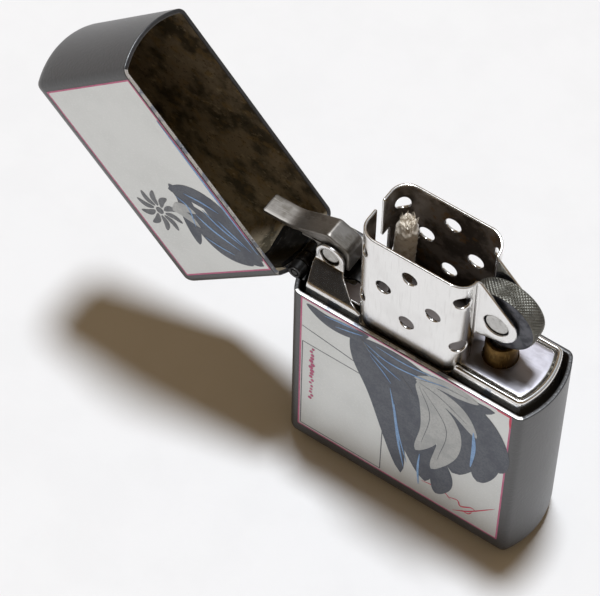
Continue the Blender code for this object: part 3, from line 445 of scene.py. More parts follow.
class Skin:
    """Gathers the closed surfaces of one piece and makes its mesh."""

    def __init__(self) -> None:
        """Starts empty."""
        self.points: list[np.ndarray] = []
        self.faces: list[np.ndarray] = []
        self.marks: list[np.ndarray] = []
        self.count = 0

    def add(self, points: np.ndarray, faces: np.ndarray, marks: np.ndarray | int = 0) -> "Skin":
        """Adds one closed surface, turned over if it faces inwards.

        Args:
            points: Its points in millimetres.
            faces: Four corners for each face, the last -1 for a triangle.
            marks: The finish's number for each face, or for all of them.

        Returns:
            The skin itself.
        """
        if signed_volume(points, faces) < 0:
            triangle = faces[:, 3] < 0
            faces, old = faces[:, ::-1].copy(), faces
            faces[triangle] = old[triangle][:, [2, 1, 0, 3]]
        self.points.append(points)
        self.faces.append(np.where(faces < 0, -1, faces + self.count))
        self.marks.append(np.broadcast_to(marks, len(faces)))
        self.count += len(points)
        return self

    def add_grid(
        self, grid: np.ndarray, marks: np.ndarray | int = 0, wrap_rows: bool = False, caps: bool = True
    ) -> "Skin":
        """Adds a grid of rings, its columns joined round and its ends fanned shut to their middles.

        Args:
            grid: Rows of rings, as (rows, columns, 3).
            marks: The finish's number for each face of the grid, for each row in a column, or for all of them.
            wrap_rows: Whether the last ring joins the first.
            caps: Whether the first and last rings are closed.

        Returns:
            The skin itself.
        """
        rows, columns = grid.shape[:2]
        points = grid.reshape(-1, 3)
        faces = lattice(rows, columns, wrap_rows)
        grid_marks = np.broadcast_to(marks, (len(faces) // columns, columns))
        face_marks = grid_marks.ravel()
        if caps and not wrap_rows:
            here = np.arange(columns)
            ahead, none, middle = (here + 1) % columns, np.full(columns, -1), np.full(columns, len(points))
            top = (rows - 1) * columns
            points = np.concatenate([points, grid[0].mean(0)[None], grid[-1].mean(0)[None]])
            first = np.stack([middle, ahead, here, none], 1)
            last = np.stack([middle + 1, top + here, top + ahead, none], 1)
            faces = np.concatenate([faces, first, last])
            face_marks = np.concatenate([face_marks, grid_marks[[0, -1]].ravel()])
        return self.add(points, faces, face_marks)

    def piece(
        self, name: str, body: str, finishes: tuple[Finish, ...], slot: str, replaces: tuple[str, ...] = (),
        sharp: float = 32, merge: bool = False, move: Matrix | None = None,
    ) -> bpy.types.Object:
        """Makes the object, dresses it and sets it riding.

        Args:
            name: The piece's name.
            body: The CAD body that it rides on.
            finishes: The finishes, in the order of the faces' marks.
            slot: The record's material slot; not used.
            replaces: The CAD nodes that it stands for.
            sharp: Edges that turn more than this many degrees stay sharp.
            merge: Whether points that meet are made one.
            move: A turn or shift of the points, in millimetres.

        Returns:
            The object.
        """
        points = np.concatenate(self.points)
        if move is not None:
            turn = np.array(move)
            points = points @ turn[:3, :3].T + turn[:3, 3]
        faces = np.concatenate(self.faces)
        sizes = np.where(faces[:, 3] < 0, 3, 4)
        loops = faces[faces >= 0]
        mesh = bpy.data.meshes.new(name)
        mesh.vertices.add(len(points))
        mesh.vertices.foreach_set("co", (points * MM).astype(np.float32).ravel())
        mesh.loops.add(len(loops))
        mesh.loops.foreach_set("vertex_index", loops.astype(np.int32))
        mesh.polygons.add(len(faces))
        mesh.polygons.foreach_set("loop_start", (np.cumsum(sizes) - sizes).astype(np.int32))
        mesh.polygons.foreach_set("material_index", np.concatenate(self.marks).astype(np.int32))
        mesh.update(calc_edges=True)
        mesh.validate()
        if merge:
            work = bmesh.new()
            work.from_mesh(mesh)
            bmesh.ops.remove_doubles(work, verts=work.verts, dist=0.0008 * MM)
            work.to_mesh(mesh)
            work.free()
        mesh.shade_smooth()
        mesh.set_sharp_from_angle(angle=math.radians(sharp))
        for finish in finishes:
            mesh.materials.append(finish.material())
        made = bpy.data.objects.new(name, mesh)
        bpy.context.scene.collection.objects.link(made)
        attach(made, body)
        if replaces:
            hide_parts(*replaces)
        LOG.info("%s: %d points, rides on %s", name, len(mesh.vertices), body)
        return made


def filled(path: np.ndarray, step: float, closed: bool = True) -> np.ndarray:
    """Cuts a path's long runs into equal parts no longer than step.

    Args:
        path: The path's points.
        step: The longest part.
        closed: Whether the last point joins the first.

    Returns:
        The path with the added points.
    """
    ahead = np.roll(path, -1, 0) - path
    parts = np.maximum(np.ceil(np.linalg.norm(ahead, axis=1) / step), 1).astype(int)
    if not closed:
        parts[-1] = 1
    index = np.repeat(np.arange(len(path)), parts)
    share = (np.arange(parts.sum()) - np.repeat(np.cumsum(parts) - parts, parts)) / parts[index]
    return path[index] + share[:, None] * ahead[index]


def rounded(corners: list[tuple[float, float, float]], step: float = 0.3, closed: bool = True) -> np.ndarray:
    """A path through corners, each rounded by the arc that touches both of its edges.

    An arc of radius r in a corner of half angle h starts r / tan(h) from the corner, and its centre lies
    r / sin(h) from it on the bisector.

    Args:
        corners: Each corner's two coordinates and its radius.
        step: The longest run left between two points.
        closed: Whether the path closes. An open path keeps its two ends.

    Returns:
        The path's points.
    """
    spots = np.array(corners, float)
    here, radius = spots[:, :2], spots[:, 2]
    back, ahead = unit(np.roll(here, 1, 0) - here), unit(np.roll(here, -1, 0) - here)
    half = np.arccos(np.clip(np.sum(back * ahead, 1), -1, 1)) / 2
    centre = here + unit(back + ahead) * (radius / np.sin(half))[:, None]
    cut = (radius / np.tan(half))[:, None]
    parts = []
    for index, (middle, start, end, size) in enumerate(zip(centre, here + back * cut, here + ahead * cut, radius)):
        if size <= 0 or (not closed and index in (0, len(here) - 1)):
            parts.append(here[index][None])
            continue
        first = math.atan2(*(start - middle)[::-1])
        sweep = (math.atan2(*(end - middle)[::-1]) - first + math.pi) % (2 * math.pi) - math.pi
        angles = first + sweep * np.linspace(0, 1, max(5, math.ceil(abs(sweep) / math.radians(5))))
        parts.append(middle + size * np.stack([np.cos(angles), np.sin(angles)], 1))
    return filled(np.concatenate(parts), step, closed)


def circle(x: float, y: float, radius: float, steps: int = 48) -> np.ndarray:
    """A closed ring of points about (x, y), clockwise, as a hole in a sheet runs."""
    angle = -2 * np.pi * np.arange(steps) / steps
    return np.stack([x + radius * np.cos(angle), y + radius * np.sin(angle)], 1)


def area(loop: np.ndarray) -> float:
    """The loop's area by the shoelace sum, positive when it runs anticlockwise."""
    ahead = np.roll(loop, -1, 0)
    return float(np.sum(loop[:, 0] * ahead[:, 1] - loop[:, 1] * ahead[:, 0])) / 2


def inside(points: np.ndarray, loops: list[np.ndarray]) -> np.ndarray:
    """Whether each point lies inside the loops, by the odd count of edges that a level ray from it crosses."""
    start = np.concatenate(loops)
    end = np.concatenate([np.roll(loop, -1, 0) for loop in loops])
    x, y = points[:, :1], points[:, 1:]
    spans = (start[:, 1] > y) != (end[:, 1] > y)
    rise = np.where(end[:, 1] == start[:, 1], 1, end[:, 1] - start[:, 1])
    crossing = start[:, 0] + (y - start[:, 1]) * (end[:, 0] - start[:, 0]) / rise
    return (spans & (x < crossing)).sum(1) % 2 == 1


class Fold(Enum):
    """The plane a sheet's path lies in. The sheet's other direction stands across it."""

    PLAN = (0, 1, 2)
    FRONT = (0, 2, 1)
    SIDE = (1, 2, 0)


@dataclass
class Sheet:
    """Sheet metal folded along a path: a pattern cut flat, then bent with the path.

    A flat point (s, w) and a depth d become path(s) + d * normal(s), with w across the path's plane.
    """

    path: np.ndarray
    fold: Fold
    thickness: float
    edge: float = 0.15
    start: float = 0.0
    rise: float = 0.6
    clear: float = 0.13

    def __post_init__(self) -> None:
        """Measures the path: its running length, and its heading at each point."""
        runs = np.diff(self.path, axis=0)
        lengths = np.linalg.norm(runs, axis=1)
        self.along = self.start + np.concatenate([[0], np.cumsum(lengths)])
        headings = np.unwrap(np.arctan2(runs[:, 1], runs[:, 0]))
        middles = (headings[1:] + headings[:-1]) / 2
        self.heading = np.concatenate([headings[:1], middles, headings[-1:]])

    def place(self, flat: np.ndarray, depth: np.ndarray | float) -> np.ndarray:
        """Bends flat points onto the path.

        Args:
            flat: Points of the pattern.
            depth: How far each stands from the sheet's middle.

        Returns:
            The points in space.
        """
        turn = np.interp(flat[:, 0], self.along, self.heading)
        first = np.interp(flat[:, 0], self.along, self.path[:, 0]) - depth * np.sin(turn)
        second = np.interp(flat[:, 0], self.along, self.path[:, 1]) + depth * np.cos(turn)
        return np.stack([(first, second, flat[:, 1])[self.fold.value.index(i)] for i in range(3)], 1)

    def stamp(
        self, skin: Skin, outer: np.ndarray, holes: tuple[np.ndarray, ...] = (),
        marks: tuple[int, int, int] = (0, 0, 0), bare: float = math.inf,
    ) -> Skin:
        """Cuts the pattern, bends it and rounds its edges.

        The edge is a quarter circle from each face: out = e sin(a) and depth = t/2 - e (1 - cos(a)).

        Args:
            skin: Where the sheet goes.
            outer: The pattern's outline.
            holes: The outlines of its holes, clockwise.
            marks: The finish's number in front, behind and on the edge.
            bare: How far from s = 0 the back keeps its own finish. Beyond it the back is like the front.

        Returns:
            The skin.
        """
        outer = outer if area(outer) > 0 else outer[::-1]
        loops, pulled, aims = [outer, *holes], [], []
        for loop in loops:
            run = unit(np.roll(loop, -1, 0) - np.roll(loop, 1, 0))
            aims.append(np.stack([run[:, 1], -run[:, 0]], 1))
            pulled.append(loop - self.edge * aims[-1])
        low, high = outer[:, 1].min(), outer[:, 1].max()
        rows = np.linspace(low, high, max(2, int((high - low) / self.rise)))[1:-1]
        spots = np.stack(np.meshgrid(self.along, rows), -1).reshape(-1, 2)
        spots = spots[inside(spots, pulled)]
        near = np.concatenate(pulled)
        if len(spots):
            gap = np.min(np.linalg.norm(spots[:, None] - near[None], axis=2), axis=1)
            spots = spots[gap > self.clear]
        flat = np.concatenate([near, spots])
        ends = np.cumsum([len(loop) for loop in loops])
        runs = [np.arange(end - len(loop), end) for loop, end in zip(loops, ends)]
        edges = np.concatenate([np.stack([run, np.roll(run, -1)], 1) for run in runs])
        cut = delaunay_2d_cdt([Vector(p) for p in flat.tolist()], edges.tolist(), [], 0, 1e-7)
        spread, triangles = np.array([tuple(v) for v in cut[0]]), np.array(cut[2])
        a, b, c = (spread[triangles[:, i]] for i in range(3))
        crossed = (b - a)[:, 0] * (c - a)[:, 1] - (b - a)[:, 1] * (c - a)[:, 0]
        triangles[crossed < 0] = triangles[crossed < 0][:, ::-1]
        middles = (a + b + c) / 3
        kept = inside(middles, pulled) & (np.abs(crossed) > 1e-9)
        triangles, middles = triangles[kept], middles[kept]
        half = self.thickness / 2
        front, back = self.place(spread, half), self.place(spread, -half)
        none = np.full((len(triangles), 1), -1)
        points = [front, back]
        faces = [np.hstack([triangles, none]), np.hstack([triangles[:, ::-1] + len(spread), none])]
        behind = np.where(np.abs(middles[:, 0]) < bare, marks[1], marks[0])
        numbers = [np.full(len(triangles), marks[0]), behind]
        angle = np.radians([0, 30, 60, 90])
        out = self.edge * np.sin(np.concatenate([angle, angle[::-1]]))
        depth = half - self.edge * (1 - np.cos(angle))
        depth = np.concatenate([depth, -depth[::-1]])
        count = 2 * len(spread)
        for loop, aim in zip(pulled, aims):
            strip = [self.place(loop + o * aim, d) for o, d in zip(out, depth)]
            quads = lattice(len(out), len(loop))[:, [0, 3, 2, 1]]
            points.append(np.concatenate(strip))
            faces.append(quads + count)
            numbers.append(np.full(len(quads), marks[2]))
            count += len(out) * len(loop)
        return skin.add(np.concatenate(points), np.concatenate(faces), np.concatenate(numbers))


def lathe(
    profile: list[tuple[float, float]], centre: tuple[float, float, float], axis: int = 2, steps: int = 64
) -> np.ndarray:
    """A profile turned about an axis: each (r, t) becomes centre + t * axis + r * (cos, sin) across it.

    Args:
        profile: Radius and place along the axis, one ring each.
        centre: The point that the profile is measured from.
        axis: 0, 1 or 2 for x, y or z.
        steps: The points in a ring.

    Returns:
        The grid of rings.
    """
    shape = np.array(profile, float)
    angle = 2 * np.pi * np.arange(steps) / steps
    grid = np.zeros((len(shape), steps, 3))
    grid[..., axis] = shape[:, 1:]
    grid[..., (axis + 1) % 3] = shape[:, :1] * np.cos(angle)
    grid[..., (axis + 2) % 3] = shape[:, :1] * np.sin(angle)
    return grid + np.array(centre)


@dataclass(frozen=True)
class BowedPlan:
    """A plan with flat long sides and bowed ends, joined by small round corners."""

    half_width: float
    half_depth: float
    end_radius: float
    corner: float = 1.3
    middle_x: float = 0.0
    flat_steps: int = 18

    def rings(self, insets: np.ndarray) -> np.ndarray:
        """The outline brought in by each inset d.

        An end is an arc of radius R - d about (half width - R, 0). A corner of radius r touches it inside, so
        its centre lies R - d - r from the arc's centre, at y = half depth - d - r.

        Args:
            insets: The distances, one ring each.

        Returns:
            (rings, points, 2), anticlockwise from the middle of the +X end.
        """
        d = np.asarray(insets, float)[:, None]
        corner = np.maximum(self.corner - d, 0.6)
        middle = self.half_width - self.end_radius
        fillet_y = self.half_depth - d - corner
        reach = np.sqrt((self.end_radius - d - corner) ** 2 - fillet_y**2)
        turn = np.arctan2(fillet_y, reach)
        bow = turn * np.concatenate([np.linspace(0, 0.69, 14), np.linspace(0.705, 0.785, 9), np.linspace(0.82, 1, 5)])
        bend = turn + (np.pi / 2 - turn) * np.linspace(0, 1, 9)[1:]
        flat = (middle + reach) * np.linspace(1, 0, self.flat_steps + 1)[1:]
        radius = self.end_radius - d
        x = np.hstack([middle + radius * np.cos(bow), middle + reach + corner * np.cos(bend), flat])
        level = np.broadcast_to(self.half_depth - d, flat.shape)
        y = np.hstack([radius * np.sin(bow), fillet_y + corner * np.sin(bend), level])
        x = np.hstack([x, -x[:, -2::-1], -x[:, 1:], x[:, -2:0:-1]]) + self.middle_x
        return np.stack([x, np.hstack([y, y[:, -2::-1], -y[:, 1:], -y[:, -2:0:-1]])], -1)


# ---------------------------------------------------------------- case, lid and hinge


@dataclass
class Shells:
    """The case and its lid: two drawn shells of one plan, and the hinge between them."""

    half_width: float = 19.05
    half_depth: float = 6.35
    end_radius: float = 12.05
    wall: float = 0.6
    round: float = 2.9
    rim: float = 35.1
    lid_rim: float = 35.4
    crown: float = 57.0
    hinge_x: float = -18.75
    hinge_z: float = 35.25
    open_angle: float = 133.0
    barrel: float = 1.15
    barrel_half: float = 4.0
    pin: float = 0.45
    knuckles: int = 5
    knuckle_gap: float = 0.12
    notch_drop: float = 1.25
    leaf_inset: float = 0.7
    leaf_sheet: float = 0.4
    worn_half: float = 15.5
    leaf: float = 7.0

    def opened(self) -> Matrix:
        """The turn about the hinge that throws the shut lid open."""
        out = Matrix.Translation((self.hinge_x, 0, self.hinge_z))
        return out @ Matrix.Rotation(math.radians(-self.open_angle), 4, "Y") @ out.inverted()

    def shell(self, height: float) -> tuple[np.ndarray, np.ndarray]:
        """A drawn shell standing on its closed end: a rounded edge, a wall, a rolled lip and the same inside.

        Each row is an inset and a height. In the hinge's bay the rows within 2.1 of the rim sink by notch_drop.

        Args:
            height: From its closed end to its rim.

        Returns:
            The grid of rings, and each face's mark: 0 outside, 1 on the bare lip in front and just inside it, and
            2 inside.
        """
        angle = np.radians(np.linspace(0, 90, 13))
        outer = np.stack([self.round * (1 - np.sin(angle)), self.round * (1 - np.cos(angle))], 1)
        near = height - np.array([2.1, 1.8, 1.5, 1.2, 0.9, 0.6, 0.35, 0.15])
        walls = np.concatenate([np.linspace(self.round, height - 2.1, 9)[1:-1], near])
        lip = [(0.015, height - 0.07), (0.07, height - 0.02), (0.16, height), (0.44, height), (0.53, height - 0.02)]
        lip += [(0.585, height - 0.07)]
        floor = self.round - (self.round - self.wall) * np.stack([np.cos(angle), np.sin(angle)], 1)
        rows = np.concatenate([
            outer, np.stack([0 * walls, walls], 1), lip,
            np.stack([0 * walls + self.wall, walls[::-1]], 1), floor,
        ])
        plan = BowedPlan(self.half_width, self.half_depth, self.end_radius).rings(rows[:, 0])
        bay = (plan[..., 0] < 0) * (1 - smoothstep(4.12, 4.34, np.abs(plan[..., 1])))
        level = rows[:, 1:] - self.notch_drop * bay * np.clip((rows[:, 1:] - height + 2.1) / 2.1, 0, 1)
        first = len(outer) + len(walls)
        marks = np.full((len(rows) - 1, plan.shape[1]), 2)
        marks[: first + len(lip)] = 0
        bare = (plan[0, :, 1] < 0) & (np.abs(plan[0, :, 0]) < self.worn_half)
        marks[first + 1 : first + len(lip) + 5, bare] = 1
        return np.dstack([plan, level]), marks

    def build(self) -> None:
        """Builds both shells and the hinge."""
        grid, marks = self.shell(self.rim)
        skin = Skin().add_grid(grid, marks)
        finishes = (POWDER_COAT, BARE_RIM, DARK_INSIDE)
        skin.piece("case_shell_coated", "case", finishes, "black_coat", ("case_shell",))
        grid, marks = self.shell(self.crown - self.lid_rim)
        grid[..., 2] = self.crown - grid[..., 2]
        skin = Skin().add_grid(grid, marks)
        finishes = (POWDER_COAT, BARE_RIM, SMOKED_LID)
        skin.piece("lid_shell_coated", "lid", finishes, "black_coat", ("lid_shell",), move=self.opened())
        self.hinge("case_hinge", "case", -1, 0, None)
        self.hinge("lid_hinge", "lid", 1, 1, self.opened())
        half = self.barrel_half
        ends = [(0.25, -half), (self.pin - 0.04, -half), (self.pin, -half + 0.08)]
        profile = ends + [(r, -t) for r, t in ends[::-1]]
        skin = Skin().add_grid(lathe(profile, (self.hinge_x, 0, self.hinge_z), 1, 32))
        skin.piece("hinge_pin_steel", "case", (HINGE_STEEL,), "dark_steel", ("hinge_pin",))

    def hinge(self, name: str, body: str, side: int, first: int, move: Matrix | None) -> None:
        """A leaf against the end wall with every second knuckle of the barrel.

        Args:
            name: The leaf's name.
            body: The body it rides on.
            side: -1 for the leaf in the case and 1 for the lid's.
            first: The number of its first knuckle.
            move: The turn that opens it.
        """
        length = (2 * self.barrel_half - (self.knuckles - 1) * self.knuckle_gap) / self.knuckles
        near = self.hinge_z + side * (self.barrel + 0.25)
        far = near + side * self.leaf
        skin = Skin()
        self.strip(skin, -self.barrel_half, self.barrel_half, near, far)
        for index in range(first, self.knuckles, 2):
            start = -self.barrel_half + index * (length + self.knuckle_gap)
            bore, soft = self.pin + 0.09, 0.1
            ring = [(bore, soft), (bore + soft, 0), (self.barrel - soft, 0), (self.barrel, soft)]
            profile = [(r, start + t) for r, t in ring] + [(r, start + length - t) for r, t in ring[::-1]]
            grid = lathe(profile, (self.hinge_x, 0, self.hinge_z), 1, 40)
            skin.add_grid(grid, wrap_rows=True)
            self.strip(skin, start + 0.02, start + length - 0.02, near + side * 0.4, self.hinge_z + side * 0.6)
        skin.piece(f"{name}_leaf_worn", body, (HINGE_STEEL,), "dark_steel", (f"{name}_leaf",), move=move)

    def strip(self, skin: Skin, low_y: float, high_y: float, low_z: float, high_z: float) -> None:
        """A curved strip that follows the end wall, brought in by leaf_inset: x = c - sqrt(r^2 - y^2).

        Args:
            skin: Where it goes.
            low_y: Its first end along the hinge.
            high_y: Its other end.
            low_z: Its first level.
            high_z: Its other level.
        """
        y, centre = np.linspace(low_y, high_y, 25), -self.half_width + self.end_radius
        far = self.end_radius - self.leaf_inset
        outer = np.stack([centre - np.sqrt(far**2 - y**2), y], 1)
        inner = np.stack([centre - np.sqrt((far - self.leaf_sheet) ** 2 - y**2), y], 1)[::-1]
        ring = np.concatenate([outer, inner])
        drawn = ring * [1, 0.985] + (ring.mean(0) - ring) * [0.06, 0]
        levels = [(drawn, low_z), (ring, low_z + 0.06 * np.sign(high_z - low_z)),
                  (ring, high_z - 0.06 * np.sign(high_z - low_z)), (drawn, high_z)]
        skin.add_grid(np.stack([np.column_stack([r, np.full(len(r), z)]) for r, z in levels]))


# ---------------------------------------------------------------- printed front


def curve(points: list[tuple[float, float]], steps: int = 12) -> np.ndarray:
    """A smooth path through points, the Catmull-Rom cubic of each four neighbours.

    Args:
        points: What it passes through.
        steps: The parts between two points.

    Returns:
        The path's points.
    """
    spots = np.array(points, float)
    padded = np.vstack([2 * spots[0] - spots[1], spots, 2 * spots[-1] - spots[-2]])
    p0, p1, p2, p3 = (padded[i : len(padded) - 3 + i, None] for i in range(4))
    t = np.linspace(0, 1, steps, endpoint=False)[None, :, None]
    path = 0.5 * (
        2 * p1 + (p2 - p0) * t + (2 * p0 - 5 * p1 + 4 * p2 - p3) * t**2 + (3 * p1 - p0 - 3 * p2 + p3) * t**3
    )
    return np.vstack([path.reshape(-1, 2), spots[-1:]])


def blade(points: list[tuple[float, float]], width: float, tip: float = 0.04, swell: float = 0.8) -> np.ndarray:
    """A leaf or brush stroke: a smooth midline, half as wide as width * sin(pi t)^swell, and blunt at its tips.

    Args:
        points: What the midline passes through.
        width: The widest it gets.
        tip: The width left at its ends.
        swell: How fast it widens from its ends.

    Returns:
        The closed outline.
    """
    path = curve(points)
    run = unit(np.gradient(path, axis=0))
    t = np.linspace(0, 1, len(path))
    half = (tip + (width - tip) * np.sin(np.pi * t) ** swell) / 2
    side = np.stack([-run[:, 1], run[:, 0]], 1) * half[:, None]
    return np.vstack([path + side, (path - side)[::-1]])


def framed(left: float, low: float, right: float, high: float, width: float) -> tuple[np.ndarray, np.ndarray]:
    """A rectangular line: its outline, and the hole that leaves it width wide."""
    outer = rounded([(left, low, 0.15), (right, low, 0.15), (right, high, 0.15), (left, high, 0.15)], 4.0)
    left, low, right, high = left + width, low + width, right - width, high - width
    hole = rounded([(left, low, 0.1), (left, high, 0.1), (right, high, 0.1), (right, low, 0.1)], 4.0)
    return outer, hole


@dataclass
class Print:
    """The printed panel: a silver ground, a magenta border and a spray of leaves that runs on to the lid.

    Ink is really about 0.01 thick. Shapes of one level lie one step apart, so that no two faces meet.
    """

    half_width: float = 16.1
    face: float = -6.35
    low: float = 4.19
    rim: float = 34.98
    lid_low: float = 35.55
    lid_high: float = 54.0
    film: float = 0.01
    step: float = 0.0009
    reach: float = 20.0
    border: float = 0.24

    def lay(
        self, skin: Skin, loops: list[np.ndarray], level: int, mark: int, holes: tuple[np.ndarray, ...] = ()
    ) -> None:
        """Lays flat shapes on the panel as thin films.

        Args:
            skin: Where they go.
            loops: Their outlines, as x and z.
            level: How many films lie under them.
            mark: The ink's number.
            holes: Holes in the first shape.
        """
        for index, loop in enumerate(loops):
            depth = (level + 0.5) * self.film + index * self.step
            path = np.stack([np.linspace(self.reach, -self.reach, 3), np.full(3, self.face - depth)], 1)
            sheet = Sheet(path, Fold.PLAN, self.film, edge=0.003, rise=50)
            flat = np.column_stack([self.reach - loop[:, 0], loop[:, 1]])
            cuts = [np.column_stack([self.reach - hole[:, 0], hole[:, 1]]) for hole in holes] if index == 0 else []
            cuts = tuple(cut if area(cut) < 0 else cut[::-1] for cut in cuts)
            sheet.stamp(skin, flat, cuts, (mark,) * 3)

    def build(self, opened: Matrix) -> None:
        """Prints the case's panel and the lid's.

        Args:
            opened: The turn that opens the lid.
        """
        inks = (SILVER_GROUND, MAGENTA_INK, SLATE_INK, PETAL_INK, LINE_INK, BLUE_INK, RED_INK)
        skin = Skin()
        self.ground(skin, self.low, self.rim)
        self.case_spray(skin)
        skin.piece("case_panel_print", "case", inks, "black_coat")
        skin = Skin()
        self.ground(skin, self.lid_low, self.lid_high)
        self.lid_spray(skin)
        skin.piece("lid_panel_print", "lid", inks, "black_coat", move=opened)

    def ground(self, skin: Skin, low: float, high: float) -> None:
        """The silver ground between two heights, with its magenta border inside its edge."""
        wide = self.half_width
        outer, hole = framed(-wide, low, wide, high, self.border)
        self.lay(skin, [outer], 0, 0)
        self.lay(skin, [outer], 1, 1, (hole,))

    def case_spray(self, skin: Skin) -> None:
        """The case's motif: a plain frame and two rules, dark leaves fanned from the rim, and pale petals."""
        outer, hole = framed(-15.75, 4.7, -2.6, 25.0, 0.17)
        self.lay(skin, [outer], 1, 4, (hole,))
        rules = [blade([(-15.8, 28.5), (-9.0, 27.3), (-2.4, 26.0)], 0.2, 0.15),
                 blade([(-2.6, 22.0), (-1.9, 21.9), (-1.2, 21.7)], 0.2, 0.15)]
        self.lay(skin, rules, 1, 4)
        leaves = [
            blade([(-15.2, 34.0), (-11.8, 32.8), (-8.4, 33.2), (-5.6, 34.7)], 2.6, 0.1, 0.6),
            blade([(-7.6, 34.4), (-5.6, 29.0), (-2.6, 22.0), (0.6, 6.8)], 5.6, 0.1, 0.6),
            blade([(-6.8, 33.2), (-0.6, 32.4), (6.0, 31.0), (13.6, 33.8)], 4.4, 0.1, 0.6),
            blade([(-3.6, 32.4), (0.6, 26.0), (2.4, 18.0), (4.4, 8.2)], 7.2, 0.1, 0.6),
            blade([(3.4, 32.6), (8.4, 28.0), (10.0, 22.6), (8.4, 14.2)], 6.6, 0.1, 0.5),
            blade([(6.4, 33.8), (11.4, 30.2), (14.2, 25.4), (15.3, 20.6)], 4.6, 0.1, 0.5),
            blade([(6.4, 30.2), (11.4, 26.0), (12.9, 21.4), (12.2, 15.6)], 5.0, 0.1, 0.5),
            blade([(4.0, 20.0), (5.8, 14.6), (6.8, 10.8), (6.2, 6.8)], 4.0, 0.1, 0.6),
        ]
        self.lay(skin, leaves, 2, 2)
        petals = [
            blade([(1.6, 31.4), (5.0, 33.0), (8.2, 33.4), (11.2, 33.6)], 2.4, 0.06, 0.6),
            blade([(1.8, 31.0), (5.4, 30.4), (8.6, 29.0), (11.4, 25.6)], 3.0, 0.06, 0.6),
            blade([(2.0, 30.6), (4.2, 26.4), (4.6, 20.6), (2.6, 14.6)], 3.4, 0.06, 0.6),
            blade([(2.4, 30.6), (6.8, 25.6), (7.4, 19.4), (5.2, 12.2)], 3.6, 0.06, 0.6),
        ]
        self.lay(skin, petals, 3, 3)
        veins = [
            blade([(2.2, 31.4), (5.4, 32.9), (9.6, 33.5)], 0.13),
            blade([(2.4, 30.9), (5.8, 30.0), (9.8, 27.6)], 0.14),
            blade([(2.4, 30.0), (4.3, 24.6), (3.4, 17.2)], 0.13),
            blade([(2.9, 30.0), (6.9, 23.6), (6.0, 15.2)], 0.13),
            blade([(-1.9, 31.4), (0.6, 28.8), (1.6, 27.2)], 0.16),
            blade([(-6.9, 33.4), (-5.6, 31.8), (-5.0, 30.4)], 0.3),
        ]
        self.lay(skin, veins, 4, 4)
        strokes = [
            blade([(-12.4, 33.6), (-9.6, 34.2), (-7.3, 34.5)], 0.34),
            blade([(-10.6, 32.6), (-8.2, 33.4), (-6.4, 34.1)], 0.26),
            blade([(-6.2, 32.8), (-2.6, 31.4), (2.0, 31.9), (6.8, 33.5)], 0.3),
            blade([(-5.8, 31.8), (-3.0, 29.9), (-0.4, 28.8)], 0.26),
            blade([(-5.2, 30.6), (-3.2, 28.6), (-1.8, 26.9)], 0.24),
            blade([(-4.4, 33.4), (0.2, 33.2), (4.9, 34.1)], 0.24),
            blade([(-1.9, 25.8), (-0.9, 20.2), (-0.1, 14.2), (1.0, 8.6)], 0.42),
            blade([(-1.1, 22.6), (-0.2, 16.4), (1.4, 10.2)], 0.24),
            blade([(10.9, 26.6), (11.2, 22.8), (11.0, 18.2)], 0.62, 0.1),
            blade([(3.3, 14.2), (3.2, 10.4), (3.5, 6.6)], 0.34, 0.08),
        ]
        self.lay(skin, strokes, 5, 5)
        dots = []
        for z in np.linspace(12.2, 24.2, 17).tolist():
            dots.append(circle(-14.1 + 0.16 * math.sin(5 * z), z, 0.3 + 0.07 * math.sin(9 * z), 12)[::-1])
        self.lay(skin, dots, 2, 1)
        tendrils = [
            blade([(3.9, 7.9), (5.6, 8.2), (6.2, 7.0), (7.6, 8.2), (8.6, 7.3)], 0.26),
            blade([(8.0, 7.6), (9.6, 8.2), (10.2, 7.2), (11.8, 8.3), (12.6, 8.0)], 0.24),
            blade([(9.0, 5.1), (11.6, 7.2), (15.3, 11.4)], 0.22),
            blade([(10.4, 6.4), (11.4, 6.4), (12.0, 7.3)], 0.2),
        ]
        self.lay(skin, tendrils, 2, 6)
        corners = [blade([(13.9, 34.78), (15.0, 34.8), (15.98, 34.72)], 0.42, 0.3),
                   blade([(15.86, 34.8), (15.9, 33.6), (15.98, 32.4)], 0.34, 0.2)]
        self.lay(skin, corners, 3, 6)

    def lid_spray(self, skin: Skin) -> None:
        """The lid's motif: a ten-petalled blossom near the hinge's side and dark leaves down to the rim.

        A petal's midline leaves the blossom's middle at its own turn, through (radius, sideways turn) steps.
        """
        leaves = [
            blade([(-0.6, 43.2), (-3.6, 42.6), (-7.2, 44.4), (-11.0, 46.2)], 2.8, 0.1, 0.6),
            blade([(-1.4, 44.0), (-2.6, 40.6), (-5.0, 38.0), (-8.6, 36.0)], 3.2, 0.1, 0.6),
            blade([(-3.6, 43.4), (-8.0, 41.6), (-11.6, 39.6), (-15.4, 36.4)], 4.8, 0.1, 0.6),
            blade([(-3.6, 39.4), (-7.6, 38.2), (-11.0, 37.2), (-14.6, 35.9)], 3.4, 0.1, 0.6),
            blade([(-7.8, 44.0), (-11.0, 42.8), (-13.2, 41.2), (-15.2, 38.4)], 2.4, 0.1, 0.6),
        ]
        self.lay(skin, leaves, 2, 2)
        petals = [
            blade([(-4.9, 46.4), (-5.4, 45.0), (-6.6, 44.0), (-8.2, 43.4)], 1.5, 0.06),
            blade([(-4.7, 46.2), (-4.4, 44.6), (-5.0, 43.2), (-5.9, 42.2)], 1.5, 0.06),
        ]
        self.lay(skin, petals, 3, 3)
        x, z = -4.8, 49.2
        steps, blossom = ((0.9, 0.0), (2.3, 0.16), (3.7, 0.0)), []
        for turn in np.linspace(0.2, 0.2 + 2 * np.pi, 11)[:-1].tolist():
            line = [(x + r * math.cos(turn + bend), z + r * math.sin(turn + bend)) for r, bend in steps]
            blossom.append(blade(line, 0.95, 0.06, 0.6))
        blossom.append(circle(x, z, 0.62, 24)[::-1])
        self.lay(skin, blossom, 2, 4)
